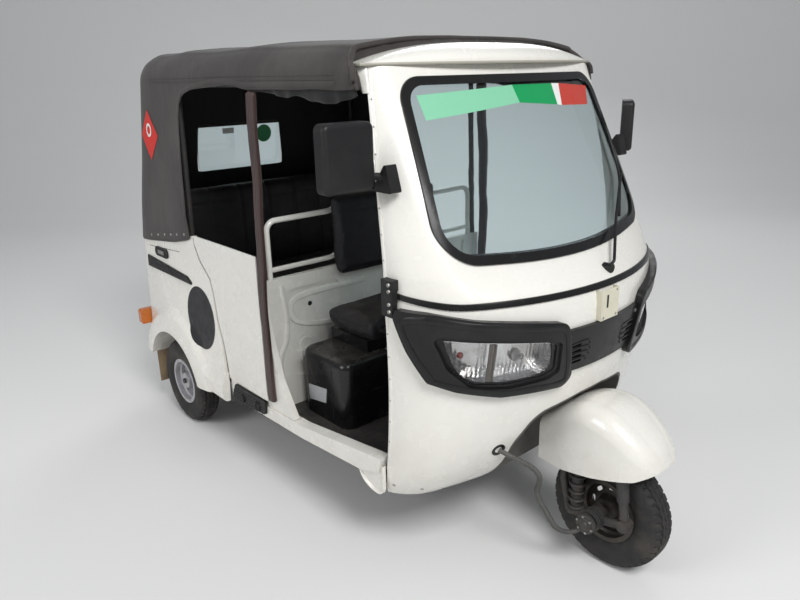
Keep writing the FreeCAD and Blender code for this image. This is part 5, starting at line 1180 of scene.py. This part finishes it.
def build_quarter_details():
    body, strips = skin_of("rear_body"), skin_of("side_mouldings")
    for hand, tag in HANDS:
        def quarter(s, z):
            return body.side(s, z, hand)

        disc_patch("round_badge_" + tag, (1.694, 0.611), (0.130, 0.143), quarter, 0.0012, "ink")
        quad_patch("latch_plate_" + tag, box_corners(2.022, 2.088, 0.854, 0.836),
                   lambda s, z: strips.side(s, z, hand), 0.0016, "steel", (6, 2))
        bands = moulding_spans(strips, hand)
        for n, share in enumerate((0.24, 0.5, 0.76)):
            spots = [strips.side(s, low + (high - low) * share, hand) for s, low, high in bands]
            strip("moulding_rib_%s_%d" % (tag, n), spots, 0.0035, 0.0022, "bezel")
        seam = [quarter(*p) for p in route([(1.86, 0.880), (2.05, 0.866), (2.20, 0.856)], 30)]
        strip("quarter_seam_" + tag, seam, 0.0012, 0.0006, "ink")


def build_canvas_details(sheet):
    """Seams, hems and snaps on the canopy, and its red badge."""
    cloth, snap, hem_rise, rear_hem = Skin(sheet), dome_profile(0.0065, 0.0032), 0.0022, 0.915
    opening = [(1.762, 1.05), (1.771, 1.293), (1.768, 1.46), (1.752, 1.52), (1.72, 1.562), (1.62, 1.586),
               (1.44, 1.604), (1.32, 1.607), (1.20, 1.592), (0.66, 1.592)]
    for hand, tag in HANDS:
        def wall(points, steps, up=0.0):
            return [cloth.side(s, z + up, hand) for s, z in route(points, steps)]

        for n, up in enumerate((0.0, 0.013)):
            strip("eaves_seam_%s_%d" % (tag, n), wall([(0.66, 1.606), (1.36, 1.608), (2.04, 1.604)], 90, up),
                  0.0011, 0.0011, "canvas")
        strip("lower_hem_" + tag, wall([(1.735, 0.985), (1.92, 0.940), (2.16, 0.915)], 60), 0.016, hem_rise,
              "canvas")
        heads("hem_snaps_" + tag, raised(wall([(1.775, 0.974), (2.14, 0.917)], 6), 0.0018), snap)
        strip("opening_hem_" + tag, wall(opening, 160), 0.010, 0.0018, "canvas")
        if tag == "right":
            quad_patch("diamond_badge", [(1.975, 1.380), (2.065, 1.490), (2.155, 1.380), (2.065, 1.270)],
                       cloth.side, 0.0022, "red_cloth", (10, 10))
            disc_patch("diamond_ring", (2.062, 1.402), (0.027, 0.030), cloth.side, 0.0032, "pale", rings=2,
                       inner=0.62)
    for s in HOOPS[1:]:
        strip("roof_seam_%d" % round(s * 1000), [cloth.above(x, s) for x in spaced(-0.52, 0.52, 60)], 0.0045,
              0.0012, "canvas")
    strip("rear_hem", [cloth.rear(x, rear_hem) for x in spaced(-0.40, 0.40, 50)], 0.016, hem_rise, "canvas")
    snaps = [cloth.rear(x, rear_hem) for x in (-0.36, -0.22, -0.08, 0.08, 0.22, 0.36)]
    heads("rear_snaps", raised(snaps, 0.0018), snap)
    corners = [(-0.263, 1.140), (0.263, 1.140), (0.263, 1.388), (-0.263, 1.388), (-0.263, 1.140)]
    strip("window_binding", [cloth.rear(x, z) for x, z in route(corners, 150)], 0.012, 0.002, "canvas")


def build_window_marks():
    pane = skin_of("rear_window")

    def inside(x, z):
        return pane.look((x, 0.9, z), (0, 1, 0))

    disc_patch("window_disc", (0.140, 1.325), (0.046, 0.046), inside, 0.0005, "green")
    quad_patch("window_label", box_corners(-0.105, -0.040, 1.366, 1.338), inside, 0.0005, "pale", (4, 2))


def build_wheel_nuts():
    reach = 0.052
    for hand, tag in HANDS:
        rim = skin_of("rear_%s_rim" % tag)
        spots = [rim.side(REAR_AXLE_S + reach * c, TYRE_RADIUS + reach * s, hand)
                 for c, s in circle(4, math.pi / 8)]
        heads("wheel_nuts_" + tag, spots, hex_profile(0.0095, 0.010), body="rear_%s_wheel" % tag, steps=6)


def build_hub_details():
    """Flange rings and bolts on the right end of the front hub."""
    place, out = skin_of("steering_fork").side(0.0, TYRE_RADIUS)[0], Vector((-1, 0, 0))
    rings = [(0.034, -0.012), (0.034, 0.001), (0.030, 0.003), (0.027, 0.001), (0.024, 0.001), (0.022, 0.004),
             (0.014, 0.005), (0.011, 0.010), (0.004, 0.011)]
    turned_solid("hub_rings_right", rings, place, out, "chassis", body="steering", steps=28)
    spots = [(place + Vector((0, 0.0285 * c, 0.0285 * s)), out) for c, s in circle(6, 0.3)]
    heads("hub_bolts_right", spots, hex_profile(0.0046, 0.0065), body="steering", steps=6)


def build_cabin_details():
    box, wall, pads = skin_of("driver_seat_box"), skin_of("bulkhead"), skin_of("step_pads")
    quad_patch("seat_label", [(0.965, 0.467), (1.090, 0.450), (1.088, 0.385), (0.975, 0.404)], box.side,
               0.0008, "silver", (8, 4))
    strip("seat_box_seam", [box.side(0.930, z) for z in spaced(0.345, 0.585, 20)], 0.0016, 0.0016, "ink")
    strip("seat_box_rib", [box.front(x, 0.46) for x in spaced(-0.36, 0.36, 40)], 0.004, 0.003, "box")
    # Painted shade: a black disc stands for the dark inside of the bulkhead's hole
    disc_patch("bulkhead_hole", (-0.378, 0.742), (0.010, 0.010), wall.front, 0.0006, "ink")
    # Pressings of the bulkhead, (x, z): name, half width, rise, line
    pressings = [
        ("panel", 0.013, 0.008, [
            (0.10, 0.790), (0.30, 0.789), (0.41, 0.786), (0.455, 0.772), (0.472, 0.742), (0.462, 0.702),
            (0.428, 0.675), (0.34, 0.650), (0.22, 0.636), (0.10, 0.630)]),
        ("arch", 0.006, 0.005, [
            (0.436, 0.505), (0.437, 0.550), (0.435, 0.580), (0.424, 0.597), (0.405, 0.603), (0.386, 0.597),
            (0.375, 0.580), (0.373, 0.550), (0.374, 0.505)]),
        ("post", 0.012, 0.007, [
            (0.512, 0.850), (0.500, 0.760), (0.496, 0.680), (0.508, 0.612), (0.534, 0.560), (0.541, 0.500),
            (0.532, 0.420), (0.512, 0.345)])]
    for hand, tag in HANDS:
        for name, half, rise, line in pressings:
            spots = [wall.front(hand * x, z) for x, z in smooth_route(line, 90)]
            strip("bulkhead_%s_%s" % (name, tag), [spot for spot in spots if spot and spot[0].y > -0.2], half,
                  rise, "white")
    for hand, tag in HANDS:
        heads("step_boss_" + tag, [pads.side(1.262, 0.334, hand)],
              [(0.021, -0.002), (0.020, 0.005), (0.015, 0.0065), (0.012, 0.004), (0.010, 0.001)], "plastic",
              steps=20)
        pimples = [pads.side(s, 0.318 + 0.014 * row - 0.012 * (s - 1.2), hand)
                   for row in range(4) for s in [1.225 + 0.021 * col for col in range(12)]]
        heads("step_pimples_" + tag, pimples, dome_profile(0.0045, 0.0022), "plastic", steps=8)


# Stage, lights and camera

def build_stage():
    """A floor that curves up behind into a wall, turned to face the camera."""
    made = bpy.data.materials.new("pale_floor")
    made.use_nodes = True
    shader = made.node_tree.nodes["Principled BSDF"]
    shader.inputs["Base Color"].default_value = (0.74, 0.74, 0.73, 1)
    shader.inputs["Roughness"].default_value = 0.9
    depth = [(-9, 0.0), (5.0, 0.0)]
    depth += [(5.0 + 2.5 * math.sin(a), 2.5 - 2.5 * math.cos(a)) for a in (0.3, 0.6, 0.9, 1.2, 1.5707)]
    depth += [(7.5, 9.0)]
    turn, across = Matrix.Rotation(math.radians(-41), 3, "Z"), spaced(-14, 14, 25)
    data = bpy.data.meshes.new("floor")
    data.from_pydata([tuple(turn @ Vector((x, y, z))) for y, z in depth for x in across], [],
                     grid_faces(len(depth), len(across)))
    for face in data.polygons:
        face.use_smooth = True
    floor = bpy.data.objects.new("floor", data)
    bpy.context.scene.collection.objects.link(floor)
    floor.data.materials.append(made)


def area_light(name, place, target, size, power):
    data = bpy.data.lights.new(name, "AREA")
    data.shape = "RECTANGLE"
    data.size, data.size_y = size
    data.energy = power
    lamp = bpy.data.objects.new(name, data)
    lamp.location = place
    lamp.rotation_euler = (Vector(target) - Vector(place)).to_track_quat("-Z", "Y").to_euler()
    bpy.context.scene.collection.objects.link(lamp)


def build_lights():
    world = bpy.data.worlds.new("studio")
    world.use_nodes = True
    back = world.node_tree.nodes["Background"]
    back.inputs["Color"].default_value = (0.92, 0.95, 1.0, 1)
    back.inputs["Strength"].default_value = 0.34
    bpy.context.scene.world = world
    area_light("key", (-1.6, -4.6, 5.2), (0, -0.4, 0.8), (2.2, 2.0), 290)
    area_light("side", (-5.4, 0.6, 3.4), (0, 0.2, 0.9), (2.6, 2.2), 100)
    area_light("rim", (4.6, 3.6, 4.4), (0, 0, 1.0), (3.0, 3.0), 110)


def build_camera():
    """The camera that was fitted to the photograph."""
    data = bpy.data.cameras.new("camera")
    data.sensor_width = 36
    data.lens = 30.96
    data.clip_start = 0.05
    camera = bpy.data.objects.new("camera", data)
    yaw, pitch, roll = math.radians(40.93), math.radians(18.32), math.radians(-1.38)
    ahead = Vector((math.sin(yaw) * math.cos(pitch), math.cos(yaw) * math.cos(pitch), -math.sin(pitch)))
    turn = ahead.to_track_quat("-Z", "Y").to_matrix().to_4x4()
    camera.matrix_world = Matrix.Translation((-1.835, -2.160, 1.622)) @ turn @ Matrix.Rotation(roll, 4, "Z")
    bpy.context.scene.collection.objects.link(camera)
    bpy.context.scene.camera = camera


dress_nodes()
canopy_sheet = build_canopy()
build_tyre("front_tyre", "front_wheel", (0, AXLE_Y, TYRE_RADIUS))
for hand, tag in HANDS:
    build_tyre("rear_%s_tyre" % tag, "rear_%s_wheel" % tag,
               (hand * HALF_TRACK, AXLE_Y + REAR_AXLE_S, TYRE_RADIUS))
build_cushions()
build_wraps()
build_door_edges()
build_header()
build_front_hem()
build_corner_gussets()
build_inner_flaps()
build_pillar_flanges()
build_lens_rims()
build_sill_toes()
build_bezel_lips()
build_screen_band()
build_lamp_insides()
build_nose_details()
build_hose()
build_quarter_details()
build_canvas_details(canopy_sheet)
build_window_marks()
build_wheel_nuts()
build_hub_details()
build_cabin_details()
build_stage()
build_lights()
build_camera()
bpy.context.scene.view_settings.view_transform = "Standard"

bpy.context.view_layer.update()
